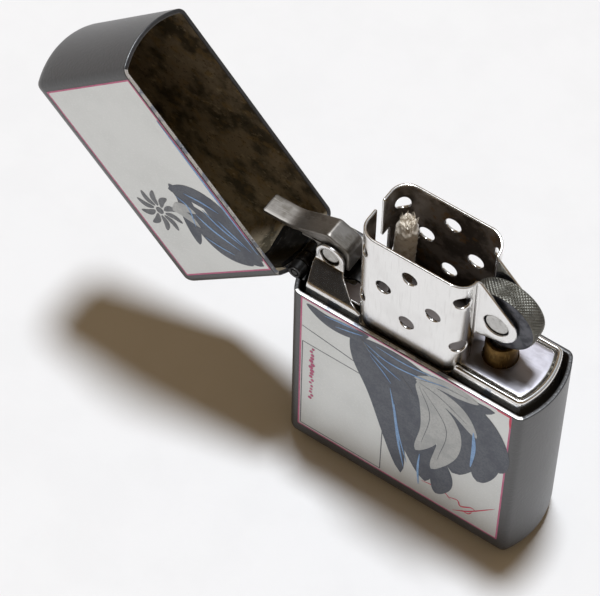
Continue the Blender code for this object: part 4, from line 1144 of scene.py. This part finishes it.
        strokes = [
            blade([(-2.6, 43.6), (-4.8, 42.8), (-8.0, 44.2)], 0.3),
            blade([(-2.4, 41.6), (-4.2, 39.4), (-6.2, 37.6)], 0.34),
            blade([(-6.0, 42.4), (-9.0, 41.2), (-12.6, 38.8)], 0.4),
            blade([(-5.4, 40.4), (-8.6, 39.4), (-12.0, 37.6)], 0.34),
            blade([(-7.4, 38.9), (-9.4, 38.2), (-13.0, 36.9)], 0.3),
            blade([(-9.8, 43.9), (-11.6, 42.4), (-13.2, 40.6)], 0.26),
            blade([(9.4, 35.95), (2.0, 35.9), (-6.0, 35.95), (-13.4, 35.9)], 0.4, 0.1),
        ]
        self.lay(skin, strokes, 4, 5)


# ---------------------------------------------------------------- insert


@dataclass
class Insert:
    """The polished insert: sleeve, deck, chimney with its wheel ears, and the folded cam ears."""

    middle_x: float = 0.2
    half_width: float = 17.5
    half_depth: float = 5.2
    end_radius: float = 10.9
    bottom: float = 1.81
    top: float = 36.8
    sheet: float = 0.4
    left: float = -9.1
    right: float = 7.2
    corner: float = 2.6
    chimney_top: float = 53.7
    seam: float = 34.3
    deck_level: float = 36.4
    deck_inset: float = 1.02
    ear_face: float = 1.9
    ear_bend: float = 0.5
    wheel: tuple[float, float] = WHEEL_AXIS
    wheel_ear: float = 3.0
    wheel_hole: float = 1.8
    hole: float = 1.12
    row_pitch: float = 4.85
    tube_hole: float = 2.3
    wick_hole: float = 1.6
    cam: tuple[float, float] = CAM_AXIS
    cam_ear: float = 2.15
    cam_hole: float = 1.45
    cam_ear_y: float = 2.0
    foot_left: float = -16.2
    foot_right: float = -7.9
    lean_low: float = 36.2
    crease: float = 38.4

    def plan(self, steps: int) -> BowedPlan:
        """The sleeve's plan, its flat sides cut into this many steps."""
        return BowedPlan(self.half_width, self.half_depth, self.end_radius, 1.3, self.middle_x, steps)

    def build(self) -> None:
        """Builds the sleeve, then the stamped sheet."""
        self.sleeve()
        skin = Skin()
        self.chimney(skin)
        self.deck(skin)
        self.cam_ears(skin)
        finishes = (POLISHED, SOOTED, DECK_PLATE)
        skin.piece("chimney_and_deck", "insert", finishes, "polished_steel", ("chimney_frame",), 38, True)

    def sleeve(self) -> None:
        """The tank's wall with its rolled rim, the grimy groove inside it, and a closed bottom edge.

        Each row is an inset and a height. From the cam's ears to the chimney's right bend the rows above the seam
        sink to it, because there the folded sheet stands in the sleeve's place.
        """
        angle = np.radians(np.linspace(0, 168, 13))
        roll = np.stack([0.39 - 0.39 * np.cos(angle), self.top - 0.45 + 0.45 * np.sin(angle)], 1)
        groove = [(0.8, 36.38), (0.84, 36.34), (1.02, 36.32), (1.02, 36.05), (0.7, 35.9), (0.45, 35.6)]
        rows = np.vstack([
            [(0.3, self.bottom), (0.08, self.bottom + 0.08), (0.0, self.bottom + 0.3)],
            [(0.0, z) for z in (10, 20, 30, 33, 34.2, 35.0, 35.6)],
            roll, groove,
            [(0.4, z) for z in (34.8, 34.0, 33, 30, 20, 10)],
            [(0.4, self.bottom + 0.2)],
        ])
        plan, seam = self.plan(90), np.full(len(rows), self.seam)
        sunk = np.where(rows[:, 1] > self.seam, [np.minimum(rows[:, 0], self.sheet), seam], rows.T).T
        high, low = plan.rings(rows[:, 0]), plan.rings(sunk[:, 0])
        x, y = low[0, :, 0], np.abs(low[0, :, 1])
        bay = smoothstep(-16.2, -15.5, x) * (1 - smoothstep(5.6, 6.7, x)) * (y > 3)
        level = rows[:, 1:] + (sunk[:, 1:] - rows[:, 1:]) * bay
        grid = np.dstack([high + (low - high) * bay[None, :, None], level])
        marks = np.zeros((len(rows), len(x)), int)
        marks[23:26], marks[26:] = np.where(x > -8, 1, 0), 2
        skin = Skin().add_grid(grid, marks, wrap_rows=True)
        finishes = (POLISHED, GROOVE_GRIME, DARK_INSIDE)
        skin.piece("tank_sleeve_polished", "insert", finishes, "polished_steel", ("tank_sleeve",))

    def chimney(self, skin: Skin) -> None:
        """The chimney's wall: one strip with its holes, its slot and the two wheel ears, bent round in plan.

        The strip's running length s is 0 where the slot is, negative towards the front ear.
        """
        wall, ear = self.half_depth - self.sheet / 2, self.ear_face + self.sheet / 2
        left, right = self.left + self.sheet / 2, self.right - self.sheet / 2
        radius = self.corner - self.sheet / 2
        half = [(right + 6.6, -ear, 0), (right, -ear, self.ear_bend), (right, -wall, radius), (left, -wall, radius)]
        corners = half + [(x, -y, r) for x, y, r in half[::-1]]
        path = self.walk(corners)
        run = np.linalg.norm(np.diff(path, axis=0), axis=1).sum() / 2
        sheet = Sheet(path, Fold.PLAN, self.sheet, start=-run)
        flat_left = wall - radius
        bend = radius * math.pi / 2
        flat = flat_left + bend
        flat_end = flat + (right - radius) - (left + radius)
        root = flat_end + bend + 0.58
        pivot = flat_end + bend + self.ear_bend * math.pi / 2 + self.wheel[0] - right - self.ear_bend
        foot = (root, self.wheel[1] - 4.0)
        apex = (root, self.wheel[1] + 7.15)
        tip = self.ear_tip(apex, foot, (pivot, self.wheel[1]))
        top, seam, deck = self.chimney_top, self.seam + 0.1, self.deck_level - 0.02
        window_left, window_right = flat_left + 1.75, flat_end + 2.02
        side = [
            (window_left, deck, 0.1), (window_left, seam, 0.1), (window_right, seam, 0.1), (window_right, deck, 0.1),
            (root - 0.1, deck, 0.1), (*foot, 0.5), (*tip, self.wheel_ear), (*apex, 1.6), (flat_end + 0.4, top, 2.6),
        ]
        slot = [(0.8, top, 0.25), (0.8, 46.2, 0.2), (2.5, 46.2, 0.35), (2.5, 40.2, 0.4), (-0.8, 40.2, 0.4),
                (-0.8, top, 0.25)]
        outer = rounded(side + slot + [(-s, w, r) for s, w, r in side[::-1]])
        rows = [top - 3.7 - i * self.row_pitch for i in range(3)]
        corner_holes, centre = (flat_left + bend / 2, flat_end + bend / 2), (flat + flat_end) / 2
        spots = [(s, w) for w in (rows[0], rows[2]) for s in (*corner_holes, centre)]
        spots += [(centre - 3.7, rows[1]), (centre + 3.7, rows[1])]
        holes = [circle(sign * s, w, self.hole) for s, w in spots for sign in (-1, 1)]
        holes += [circle(sign * pivot, self.wheel[1], self.wheel_hole, 60) for sign in (-1, 1)]
        sheet.stamp(skin, outer, tuple(holes), (0, 1, 0), root - 0.3)

    def walk(self, corners: list[tuple[float, float, float]]) -> np.ndarray:
        """The strip's path in plan, with bends cut finely and no run longer than 0.8."""
        return rounded(corners, 0.8, closed=False)

    def ear_tip(
        self, apex: tuple[float, float], foot: tuple[float, float], centre: tuple[float, float]
    ) -> tuple[float, float]:
        """Where the ear's two straight edges would meet, if its end weren't round.

        Args:
            apex: Where its upper edge starts.
            foot: Where its lower edge starts.
            centre: The middle of its round end.

        Returns:
            The meeting point of the two tangents.
        """
        lines = []
        for start, side in ((apex, 1), (foot, -1)):
            dx, dz = centre[0] - start[0], centre[1] - start[1]
            angle = math.atan2(dz, dx) + side * math.asin(self.wheel_ear / math.hypot(dx, dz))
            lines.append((math.cos(angle), math.sin(angle)))
        gap = np.subtract(foot, apex)
        length = np.linalg.solve(np.array([lines[0], [-v for v in lines[1]]]).T, gap)[0]
        return apex[0] + length * lines[0][0], apex[1] + length * lines[0][1]

    def deck(self, skin: Skin) -> None:
        """The deck's plate: the sleeve's plan brought in, widened to the chimney's walls, with its holes.

        Beside the chimney its half depth is h - r + sqrt(r^2 - over^2), the round corner's own outline.
        """
        outer = self.plan(60).rings(np.array([self.deck_inset]))[0]
        x, side = outer[:, 0], np.sign(outer[:, 1])
        radius = self.corner - 0.25
        over = np.maximum(np.maximum(self.left + self.corner - x, x - self.right + self.corner), 0)
        reach = self.half_depth - self.corner + np.sqrt(np.maximum(radius**2 - over**2, 0))
        outer[:, 1] = np.where(over < radius, side * np.maximum(np.abs(outer[:, 1]), reach), outer[:, 1])
        path = np.stack([np.linspace(-20, 20, 41), np.full(41, self.deck_level)], 1)
        sheet = Sheet(path, Fold.FRONT, self.sheet, edge=0.12, start=-20, rise=1.2)
        well = rounded([(-15.6, -1.95, 0.35), (-15.6, 1.95, 0.35), (-10.8, 1.95, 0.35), (-10.8, -1.95, 0.35)])
        holes = (well, circle(self.wheel[0], 0, self.tube_hole), circle(WICK_X, 0, self.wick_hole))
        sheet.stamp(skin, outer, holes, (2, 1, 0))

    def cam_ears(self, skin: Skin) -> None:
        """Two ears folded up beside the cam, in line with the chimney's walls.

        Each stands up from the seam, leans in to a crease and then stands upright. Its pattern narrows from a wide
        foot to the round end about the rivet.
        """
        x, z = self.cam
        wall, inner, left, right = self.half_depth - self.sheet / 2, self.cam_ear_y, self.foot_left, self.foot_right
        reach = self.lean_low - self.seam + math.hypot(wall - inner, self.crease - self.lean_low) - 0.35
        centre, half = reach + z - self.crease, self.cam_ear
        pattern = rounded([
            (0.0, left, 0.1), (0.0, right, 0.1), (1.7, right, 0.3), (2.6, right - 1.7, 0.8),
            (reach - 0.2, x + half + 0.1, 1.6), (centre + half, x + half, half - 0.001),
            (centre + half, x - half, half - 0.001), (reach - 0.6, x - half, 0.8), (2.2, left, 0.6),
        ])
        for side in (-1, 1):
            path = self.walk([(side * wall, self.seam, 0), (side * wall, self.lean_low, 0.8),
                              (side * inner, self.crease, 0.5), (side * inner, 43.5, 0)])
            sheet = Sheet(filled(path, 0.25, False), Fold.SIDE, self.sheet, edge=0.13)
            sheet.stamp(skin, pattern, (circle(centre, x, self.cam_hole),))


@dataclass
class Rivets:
    """The two rivets that carry the cam and the wheel, their heads sunk in the ears' holes."""

    sheet: float = 0.4
    recess: float = 0.2

    def build(self) -> None:
        """Builds both rivets."""
        self.rivet("cam_rivet", CAM_AXIS, 0.7, 1.24, 1.8)
        self.rivet("wheel_rivet", WHEEL_AXIS, 0.8, 1.6, 1.9)

    def rivet(self, name: str, place: tuple[float, float], axle: float, head: float, face: float) -> None:
        """A lathe-turned rivet along y: a dished head in each ear and the axle between them.

        Args:
            name: The CAD node it stands for.
            place: Its x and z.
            axle: The axle's radius.
            head: The head's radius.
            face: The ears' inner faces from the middle.
        """
        out = face + self.sheet - self.recess
        end = [(0.2, out - 0.05), (0.55 * head, out - 0.04), (0.82 * head, out), (0.94 * head, out - 0.02),
               (head, out - 0.09), (head, face + 0.02), (head - 0.02, face), (axle + 0.02, face), (axle, face - 0.02)]
        profile = [(r, -t) for r, t in end] + end[::-1]
        skin = Skin().add_grid(lathe(profile, (place[0], 0, place[1]), 1, 64))
        skin.piece(f"{name}_punched", "insert", (RIVET_STEEL,), "polished_steel", (name,))


@dataclass
class CamLever:
    """The cam: a plate folded over two cheeks, its long arm reaching back into the lid, and the leaf under it."""

    x: float = CAM_AXIS[0]
    z: float = CAM_AXIS[1]
    half_width: float = 1.6
    plate: float = 0.6
    bore: float = 0.78

    def build(self) -> None:
        """Builds the lever and its spring."""
        skin, x, z = Skin(), self.x, self.z
        drop = self.plate / 2
        line = [(-10.9, 0.95 - drop, 0), (-6.3, 1.05 - drop, 4.5), (-3.6, 2.25 - drop, 4.0),
                (-0.75, 3.44 - drop, 0.3), (2.65 - drop, 1.85, 0.9), (2.65 - drop, -1.95, 0)]
        path = rounded([(x + a, z + b, r) for a, b, r in line], 0.4, closed=False)
        sheet = Sheet(path, Fold.FRONT, self.plate, edge=0.17, rise=0.5)
        long, wide = sheet.along[-1], self.half_width
        outer = rounded([(0, -wide, 0.35), (long, -wide, 0.2), (long, wide, 0.2), (0, wide, 0.35)], 0.25)
        sheet.stamp(skin, outer)
        cheek = [(-7.6, 0.55, 0.1), (-6.1, 0.7, 1.0), (-3.5, 1.95, 1.0), (-0.8, 3.1, 0.4), (2.35, 1.7, 0.8),
                 (2.35, -1.9, 0.3), (0.9, -2.6, 1.2), (-1.6, -2.2, 1.0), (-2.3, -0.2, 1.5), (-2.9, 1.1, 1.2),
                 (-4.6, 0.75, 1.0)]
        pattern = rounded([(x + a, z + b, r) for a, b, r in cheek], 0.3)
        for side in (-1, 1):
            line_y = np.full(31, side * (wide - 0.04 - drop))
            flat = Sheet(np.stack([np.linspace(-24, -10, 31), line_y], 1), Fold.PLAN, self.plate, 0.17, -24, 0.8)
            flat.stamp(skin, pattern, (circle(x, z, self.bore, 32),))
        skin.piece("cam_lever_brushed", "cam_lever", (LEVER_STEEL,), "dark_steel", ("cam",), 30, True)
        spring = rounded([(-9.35, 36.82, 0), (-11.3, 36.82, 0.5), (-12.1, 36.1, 0.6), (-15.5, 36.1, 0)], 0.3, False)
        leaf = Sheet(spring, Fold.FRONT, 0.25, edge=0.08, rise=0.6)
        end = leaf.along[-1]
        outer = rounded([(0, -1.3, 0.3), (end, -1.3, 0.3), (end, 1.3, 0.3), (0, 1.3, 0.3)])
        skin = Skin()
        leaf.stamp(skin, outer, (circle(0.73, 0, 0.6, 24),))
        skin.piece("cam_spring_leaf", "insert", (HINGE_STEEL,), "polished_steel", ("cam_spring",), 30, True)


@dataclass
class Striker:
    """The striker wheel: a rim cut with crossed file teeth between smooth blued sides."""

    x: float = WHEEL_AXIS[0]
    z: float = WHEEL_AXIS[1]
    radius: float = 5.1
    rim: float = 1.36
    hub: float = 3.0
    bore: float = 0.88
    teeth: int = 62
    tooth: float = 0.22

    def build(self) -> None:
        """Builds the wheel as one grid: the sides' rings, then the toothed rim.

        With u the pitches round and v those across, the tooth is as high as the smaller of the two triangle waves
        of u + v and u - v, which makes rows of small pyramids.
        """
        steps, rows = 10 * self.teeth, 34
        angle = 2 * np.pi * np.arange(steps) / steps
        side = [(self.bore, 1.5), (self.bore + 0.1, 1.6), (self.hub, 1.6), (self.hub + 0.15, 1.585),
                (self.radius - 0.62, 1.5), (self.radius - 0.34, 1.46), (self.radius - 0.2, 1.4)]
        y = np.linspace(-self.rim, self.rim, rows)
        pitch = 2 * math.pi * self.radius / self.teeth
        u, v = angle * self.teeth / (2 * np.pi), y[:, None] / pitch
        first, second = (np.abs(2 * ((u + s * v) % 1) - 1) for s in (1, -1))
        fade = np.minimum(1, (self.rim - np.abs(y)) / 0.2)[:, None]
        high = np.minimum(first, second) ** 0.8 * fade
        wear = 0.8 + 0.2 * np.sin(7 * angle)[None] * np.sin(3 * angle + y[:, None])
        rim = self.radius - self.tooth * (1 - np.minimum(high, 0.72) / 0.72 * wear)
        radius = np.vstack([
            np.repeat([[r] for r, _ in side], steps, 1), rim, np.repeat([[r] for r, _ in side[::-1]], steps, 1)
        ])
        across = np.concatenate([[-t for _, t in side], y, [t for _, t in side[::-1]]])[:, None]
        grid = np.stack([
            self.x + radius * np.cos(angle), np.broadcast_to(across, radius.shape), self.z + radius * np.sin(angle)
        ], -1)
        marks = np.zeros((len(radius), 1), int)
        marks[len(side) - 1 : len(side) + rows] = 1
        skin = Skin().add_grid(grid, marks, wrap_rows=True)
        finishes = (BLUED_SIDE, KNURL_STEEL)
        skin.piece("striker_wheel_knurled", "striker", finishes, "dark_steel", ("striker_wheel",), 60)


# ---------------------------------------------------------------- fuel, wick and flint


@dataclass
class Packing:
    """The wick, the cotton wadding round it and the felt pad that closes the tank."""

    wick_x: float = WICK_X
    wick_radius: float = 1.5
    wick_top: float = 52.7
    plait_top: float = 52.1
    lean: float = 0.9
    strands: int = 150
    seed: int = 7

    def wick(self) -> None:
        """The plaited wick and its frayed tip.

        The plait's radius is r + 0.15 * the larger of |sin(3a + 1.9z)| and |sin(3a - 1.9z)|, with fine yarns over
        it, and the tip opens into tapered strands, each a thin ring of six carried along its own bent path.
        """
        rng = np.random.default_rng(self.seed)
        z = np.concatenate([np.linspace(4.75, 36, 120), np.linspace(36.1, self.plait_top, 120)])
        angle = 2 * np.pi * np.arange(72) / 72
        left, right = (np.abs(np.sin(3 * angle + s * 1.9 * z[:, None])) for s in (1, -1))
        twist = np.maximum(left, right)
        plait = self.wick_radius - 0.17 + 0.15 * twist + 0.03 * np.sin(11 * angle + 7 * z[:, None])
        plait *= (1 - 0.25 * smoothstep(50.6, self.plait_top, z))[:, None]
        bend = self.lean * np.clip((z - 38) / (self.wick_top - 38), 0, 1)[:, None]
        uneven = 0.25 * np.sin(3 * angle + 1) * smoothstep(51, self.plait_top, z)[:, None]
        grid = np.stack([self.wick_x + plait * np.cos(angle), bend + plait * np.sin(angle), z[:, None] + uneven], -1)
        skin = Skin().add_grid(grid)
        count, rings, sides = self.strands, 7, 6
        t = np.linspace(0, 1, rings)[None, :, None]
        start, aim = rng.uniform(0, 2 * np.pi, (2, count, 1, 1))
        spread = self.wick_radius * 0.82 * np.sqrt(rng.uniform(0, 1, (count, 1, 1)))
        low = rng.uniform(47.5, 51.6, (count, 1, 1))
        low = np.where(rng.uniform(size=low.shape) < 0.75, rng.uniform(51.3, 51.9, low.shape), low)
        outer = np.where(low < 51.2, self.wick_radius * 0.95, spread)
        length = rng.uniform(0.5, 1.35, (count, 1, 1)) * np.where(low < 51.2, 0.6, 1)
        length = np.minimum(length, self.wick_top + 0.35 - low)
        curl = rng.uniform(0.1, 0.75, (count, 1, 1)) * np.where(low < 51.2, 1.2, 1)
        around = 2 * np.pi * np.arange(sides)[None, None, :] / sides
        thick = rng.uniform(0.05, 0.13, (count, 1, 1)) * (1 - 0.8 * t)
        at_x = self.wick_x + outer * np.cos(start) * 0.85 + curl * 0.55 * t**2 * np.cos(aim)
        at_y = self.lean * 0.95 + outer * np.sin(start) + curl * 0.55 * t**2 * np.sin(aim)
        strands = np.stack([
            at_x + thick * np.cos(around), at_y + thick * np.sin(around),
            np.broadcast_to(low + length * t, (count, rings, sides)) + 0 * around,
        ], -1)
        for strand in strands:
            skin.add_grid(strand)
        skin.piece("wick_plaited", "insert", (WICK_COTTON,), "cotton", ("wick",), 60)

    def wadding(self, name: str) -> None:
        """One tuft of wadding: a pillow-shaped ball whose surface is drawn in and out by seeded waves.

        A direction's radius is (|x|^p + |y|^p + |z|^p)^(-1/p) with p = 3, times 0.93 less up to 0.12 of the summed
        waves.

        Args:
            name: The CAD node it stands for.
        """
        low, high = (np.array(corner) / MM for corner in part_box(name))
        rng = np.random.default_rng(self.seed + int(name[-1]))
        polar, turn = np.linspace(0.04, np.pi - 0.04, 60)[:, None], (2 * np.pi * np.arange(96) / 96)[None]
        way = np.stack([np.sin(polar) * np.cos(turn), np.sin(polar) * np.sin(turn), np.cos(polar) + 0 * turn], -1)
        radius = np.sum(np.abs(way) ** 3, -1) ** (-1 / 3)
        waves = rng.normal(0, 1, (14, 3)) * np.array([[3], [5]]).repeat(7, 0)
        phase = rng.uniform(0, 2 * np.pi, 14)
        lumps = np.sum(np.sin(way @ waves.T + phase) / np.abs(waves).sum(1), -1)
        radius *= 0.93 - 0.12 * lumps / np.abs(lumps).max()
        grid = (low + high) / 2 + way * radius[..., None] * (high - low) / 2 * 0.99
        made = Skin().add_grid(grid).piece(f"{name}_wadding", "insert", (WADDING,), "cotton", (name,), 80)

    def felt(self) -> None:
        """The felt pad: the sleeve's plan, thick and soft-edged, with the hole for the flint's screw."""
        outer = Insert().plan(40).rings(np.array([0.55]))[0]
        low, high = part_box("felt_pad")
        middle, thick = (low.z + high.z) / 2 / MM, (high.z - low.z) / MM
        path = np.stack([np.linspace(-20, 20, 61), np.full(61, middle)], 1)
        sheet = Sheet(path, Fold.FRONT, thick - 0.06, edge=0.5, start=-20, rise=0.8)
        skin = Skin()
        sheet.stamp(skin, outer, (circle(WHEEL_AXIS[0], 0, 2.85),))
        made = skin.piece("felt_pad_pressed", "insert", (FELT,), "felt", ("felt_pad",), 60, True)

    def build(self) -> None:
        """Builds the wick, the wadding and the felt."""
        self.wick()
        for number in range(1, 6):
            self.wadding(f"cotton_ball_{number}")
        self.felt()


@dataclass
class FlintTube:
    """The brass tube under the wheel, and the finishes of what it holds."""

    x: float = WHEEL_AXIS[0]
    radius: float = 2.2
    bore: float = 1.6
    top: float = 40.2

    def build(self) -> None:
        """Turns the tube with a soft lip and dresses the flint, its spring, plunger and screw."""
        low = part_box("flint_tube")[0].z / MM
        lip = [(self.bore, 0.1), (self.bore + 0.06, 0.02), (self.bore + 0.16, 0), (self.radius - 0.16, 0),
               (self.radius - 0.05, 0.05), (self.radius, 0.16)]
        profile = [(r, low + t) for r, t in lip] + [(r, self.top - t) for r, t in lip[::-1]]
        skin = Skin().add_grid(lathe(profile, (self.x, 0, 0)), wrap_rows=True)
        # The tube's brass is painted darker as shade from the wheel.
        skin.piece("flint_tube_brass", "insert", (SHADE_DARKENED_BRASS,), "brass", ("flint_tube",))
        for name, finish in (
            ("flint", FERROCERIUM), ("flint_plunger", SHADE_DARKENED_BRASS), ("flint_screw", SHADE_DARKENED_BRASS), ("flint_spring", RIVET_STEEL),
            ("cam_spring_rivet", RIVET_STEEL),
        ):
            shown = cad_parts[name]
            for slot in shown.material_slots:
                slot.material = finish.material()
            LOG.info("%s keeps its CAD shape", name)


# ---------------------------------------------------------------- stage


@dataclass
class Stage:
    """The pale floor, the light and the camera."""

    target: tuple[float, float, float] = (-20.405, 0.0, 23.104)
    azimuth: float = 33.195
    elevation: float = 56.021
    roll: float = 1.495
    distance: float = 428.678
    lens: float = 193.213
    sun_energy: float = 3.37
    sun_angle: float = 10.0
    sun_colour: tuple[float, float, float] = (0.893, 0.938, 1.0)
    sun_way: tuple[float, float, float] = (-0.07, 0.135, 1.0)
    room_colour: tuple[float, float, float, float] = (1.0, 0.71, 0.41, 1.0)
    room_strength: float = 0.2
    card_distance: float = 900.0

    def floor(self) -> None:
        """A sheet of matt paper under the object, faintly mottled, laid as a grid of 64 cells a side."""
        across = np.linspace(-1500, 1500, 65)
        x, y = np.meshgrid(across, across)
        points = np.stack([x, y, np.full_like(x, -0.02)], -1).reshape(-1, 3) * MM
        mesh = bpy.data.meshes.new("floor_paper")
        mesh.from_pydata(points, [], lattice(65, 65, wrap_columns=False).tolist())
        paper = Finish("matt_white_paper", "#e9e9e9", 0.0, 0.9, (Layer(12.0, "#e5e5e5", 0.5), Layer(0.5, depth=0.01)))
        mesh.materials.append(paper.material())
        made = bpy.data.objects.new("floor_paper", mesh)
        bpy.context.scene.collection.objects.link(made)

    def card(self, name: str, way: tuple[float, float, float], size: float, colour: str, power: float) -> None:
        """A square reflector that only shows in glossy surfaces, facing the object from card_distance.

        Args:
            name: Its name.
            way: The direction it stands in.
            size: Its side.
            colour: Its light's colour.
            power: Its radiance.
        """
        aim = Vector(way).normalized()
        turn = aim.to_track_quat("Z", "Y").to_matrix().to_4x4()
        corners = np.array([(-1, -1, 0), (1, -1, 0), (1, 1, 0), (-1, 1, 0)]) * size / 2 * MM
        mesh = bpy.data.meshes.new(name)
        mesh.from_pydata(corners, [], [(3, 2, 1, 0)])
        made = bpy.data.objects.new(name, mesh)
        made.matrix_world = Matrix.Translation(aim * self.card_distance * MM + Vector((0, 0, 0.03))) @ turn
        glow = bpy.data.materials.new(f"{name}_glow")
        glow.use_nodes = True
        glow.node_tree.nodes.clear()
        lit = node(glow.node_tree, "Emission", {"Color": tone(colour), "Strength": power})
        node(glow.node_tree, "OutputMaterial", {"Surface": lit.outputs[0]})
        mesh.materials.append(glow)
        made.visible_camera = made.visible_diffuse = made.visible_shadow = False
        bpy.context.scene.collection.objects.link(made)

    def light(self) -> None:
        """One large soft lamp almost overhead and a little behind, and a weak warm fill from all round.

        A dark flag in front darkens the cam ears' leaning faces, and a pale card behind lights the rolled rim.
        """
        lamp = bpy.data.lights.new("overhead_softbox", "SUN")
        lamp.energy, lamp.angle, lamp.color = self.sun_energy, math.radians(self.sun_angle), self.sun_colour
        made = bpy.data.objects.new("overhead_softbox", lamp)
        made.rotation_euler = Vector(self.sun_way).to_track_quat("Z", "Y").to_euler()
        bpy.context.scene.collection.objects.link(made)
        world = bpy.data.worlds.new("warm_room")
        world.use_nodes = True
        glow = world.node_tree.nodes["Background"]
        glow.inputs["Color"].default_value = self.room_colour
        glow.inputs["Strength"].default_value = self.room_strength
        bpy.context.scene.world = world
        self.card("dark_flag", (-0.306, -0.586, 0.751), 700, "#1c1712", 0.4)
        self.card("side_card", (0.45, 0.47, 0.72), 1000, "#e6ebf2", 0.45)

    def camera(self) -> None:
        """The camera, by its angles about the target."""
        turn, rise, roll = (math.radians(v) for v in (self.azimuth, self.elevation, self.roll))
        back = Vector((math.sin(turn) * math.cos(rise), -math.cos(turn) * math.cos(rise), math.sin(rise)))
        right = Vector((math.cos(turn), math.sin(turn), 0))
        up = back.cross(right)
        level = math.cos(roll) * right + math.sin(roll) * up
        upright = math.cos(roll) * up - math.sin(roll) * right
        place = (Vector(self.target) + back * self.distance) * MM
        lens = bpy.data.cameras.new("camera")
        lens.lens, lens.sensor_width, lens.clip_start, lens.clip_end = self.lens, 36.0, 0.01, 10.0
        made = bpy.data.objects.new("camera", lens)
        made.matrix_world = Matrix((level, upright, back)).transposed().to_4x4()
        made.location = place
        bpy.context.scene.collection.objects.link(made)
        bpy.context.scene.camera = made

    def build(self) -> None:
        """Sets the stage."""
        bpy.context.scene.view_settings.view_transform = "Standard"
        self.floor()
        self.light()
        self.camera()


def main() -> None:
    """Builds the stage and the pieces."""
    logging.basicConfig(level=logging.INFO, format="%(message)s")
    Stage().build()
    shells = Shells()
    shells.build()
    Print().build(shells.opened())
    Insert().build()
    Rivets().build()
    CamLever().build()
    Striker().build()
    Packing().build()
    FlintTube().build()


if __name__ == "__main__":
    main()
